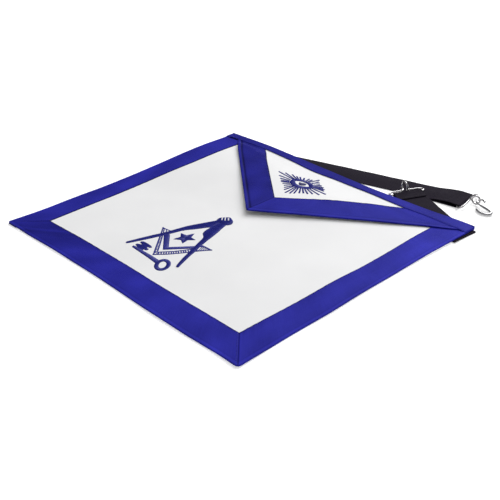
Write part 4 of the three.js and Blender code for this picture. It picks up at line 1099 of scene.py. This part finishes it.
# short extra stitches that close the upper right of the glory
for i, (a0, b0, q0, q1) in enumerate([(6.2, 23.4, 0.95, 1.3), (13.6, 18.2, 0.62, 1.05), (20.8, 14.6, 0.42, 0.9), (26.4, 11.4, 0.3, 0.7), (30.2, 7.6, 0.2, 0.5)]):
    end = np.array([a0, b0])
    q = (q0 + q1) / 2
    foot = np.array([LID[0] + LID[2] * math.cos(q), LID[1] + LID[3] * math.sin(q)])
    d = (end - foot) * 0.92
    side = np.array([-d[1], d[0]]) / np.linalg.norm(d) * 0.8
    satin(eye, put(resample([foot - side, foot + d - side], 6)), put(resample([foot + side, foot + d + side], 6)), flap_top, height=0.6, pitch=0.42,
          across=6, seed=460 + i, ragged=0.05)
eye.done("embroidered_eye", NAVY, ["emblem_eye"])
pupil = Build()
PUPIL_TOP = [(-6.8, 1.8), (-5.4, 3.4), (-3.8, 2.8), (-2.8, 3.6), (-1.0, 5.2), (1.4, 5.6), (3.6, 4.2), (4.6, 2.0)]
PUPIL_LOW = [(-6.6, 1.2), (-5.2, -0.8), (-3.8, -2.4), (-2.0, -3.4), (-0.2, -3.6), (1.8, -2.8), (3.6, -1.0), (4.6, 1.2)]
satin(pupil, put(PUPIL_TOP), put(PUPIL_LOW), flap_top, height=0.8, seed=500)
pupil.done("embroidered_pupil", NAVY_DEEP, ["emblem_pupil"])

# ------------------------------------------------------------------ floor and light
k = Nodes("floor_white")
k.put(Base_Color=(0.92, 0.92, 0.92, 1), Roughness=0.9, Specular_IOR_Level=0.1, Emission_Color=(1, 1, 1, 1), Emission_Strength=0.34)
me = bpy.data.meshes.new("floor")
S_ = 6.0
me.from_pydata([(-S_, -S_, -0.0003), (S_, -S_, -0.0003), (S_, S_, -0.0003), (-S_, S_, -0.0003)], [], [(0, 1, 2, 3)])
me.materials.append(k.m)
floor = bpy.data.objects.new("floor", me)
bpy.context.scene.collection.objects.link(floor)

world = bpy.data.worlds.new("studio")
world.use_nodes = True
wt = world.node_tree
tc, sp, rp = wt.nodes.new("ShaderNodeTexCoord"), wt.nodes.new("ShaderNodeSeparateXYZ"), wt.nodes.new("ShaderNodeValToRGB")
wt.links.new(tc.outputs["Generated"], sp.inputs[0])
wt.links.new(sp.outputs[2], rp.inputs["Fac"])
el = rp.color_ramp.elements                       # dimmer near the ground, bright overhead
while len(el) < 4:
    el.new(0.5)
for e, (pos, g) in zip(el, [(0.0, 0.42), (0.10, 0.20), (0.44, 0.60), (1.0, 1.0)]):
    e.position, e.color = pos, (g, g, g, 1)
wt.links.new(rp.outputs["Color"], wt.nodes["Background"].inputs["Color"])
wt.nodes["Background"].inputs["Strength"].default_value = 0.42
bpy.context.scene.world = world


def area(name, place, target, size, watts, colour=(1, 1, 1)):
    d = bpy.data.lights.new(name, "AREA")
    d.shape, d.size, d.energy, d.color = "SQUARE", size, watts, colour
    o = bpy.data.objects.new(name, d)
    p, t_ = np.array(place, float), np.array(target, float)
    z = (p - t_) / np.linalg.norm(p - t_)
    x = np.cross([0, 0, 1.0], z); x /= np.linalg.norm(x)
    y = np.cross(z, x)
    o.matrix_world = Matrix(((x[0], y[0], z[0], p[0]), (x[1], y[1], z[1], p[1]), (x[2], y[2], z[2], p[2]), (0, 0, 0, 1)))
    bpy.context.scene.collection.objects.link(o)
    return o


area("key_light", (-0.5, 2.5, 2.2), (0, 0, 0), 2.3, 102)
area("top_light", (0.3, 0.2, 3.2), (0, 0, 0), 1.6, 25)
scene = bpy.context.scene
scene.view_settings.view_transform = "Standard"
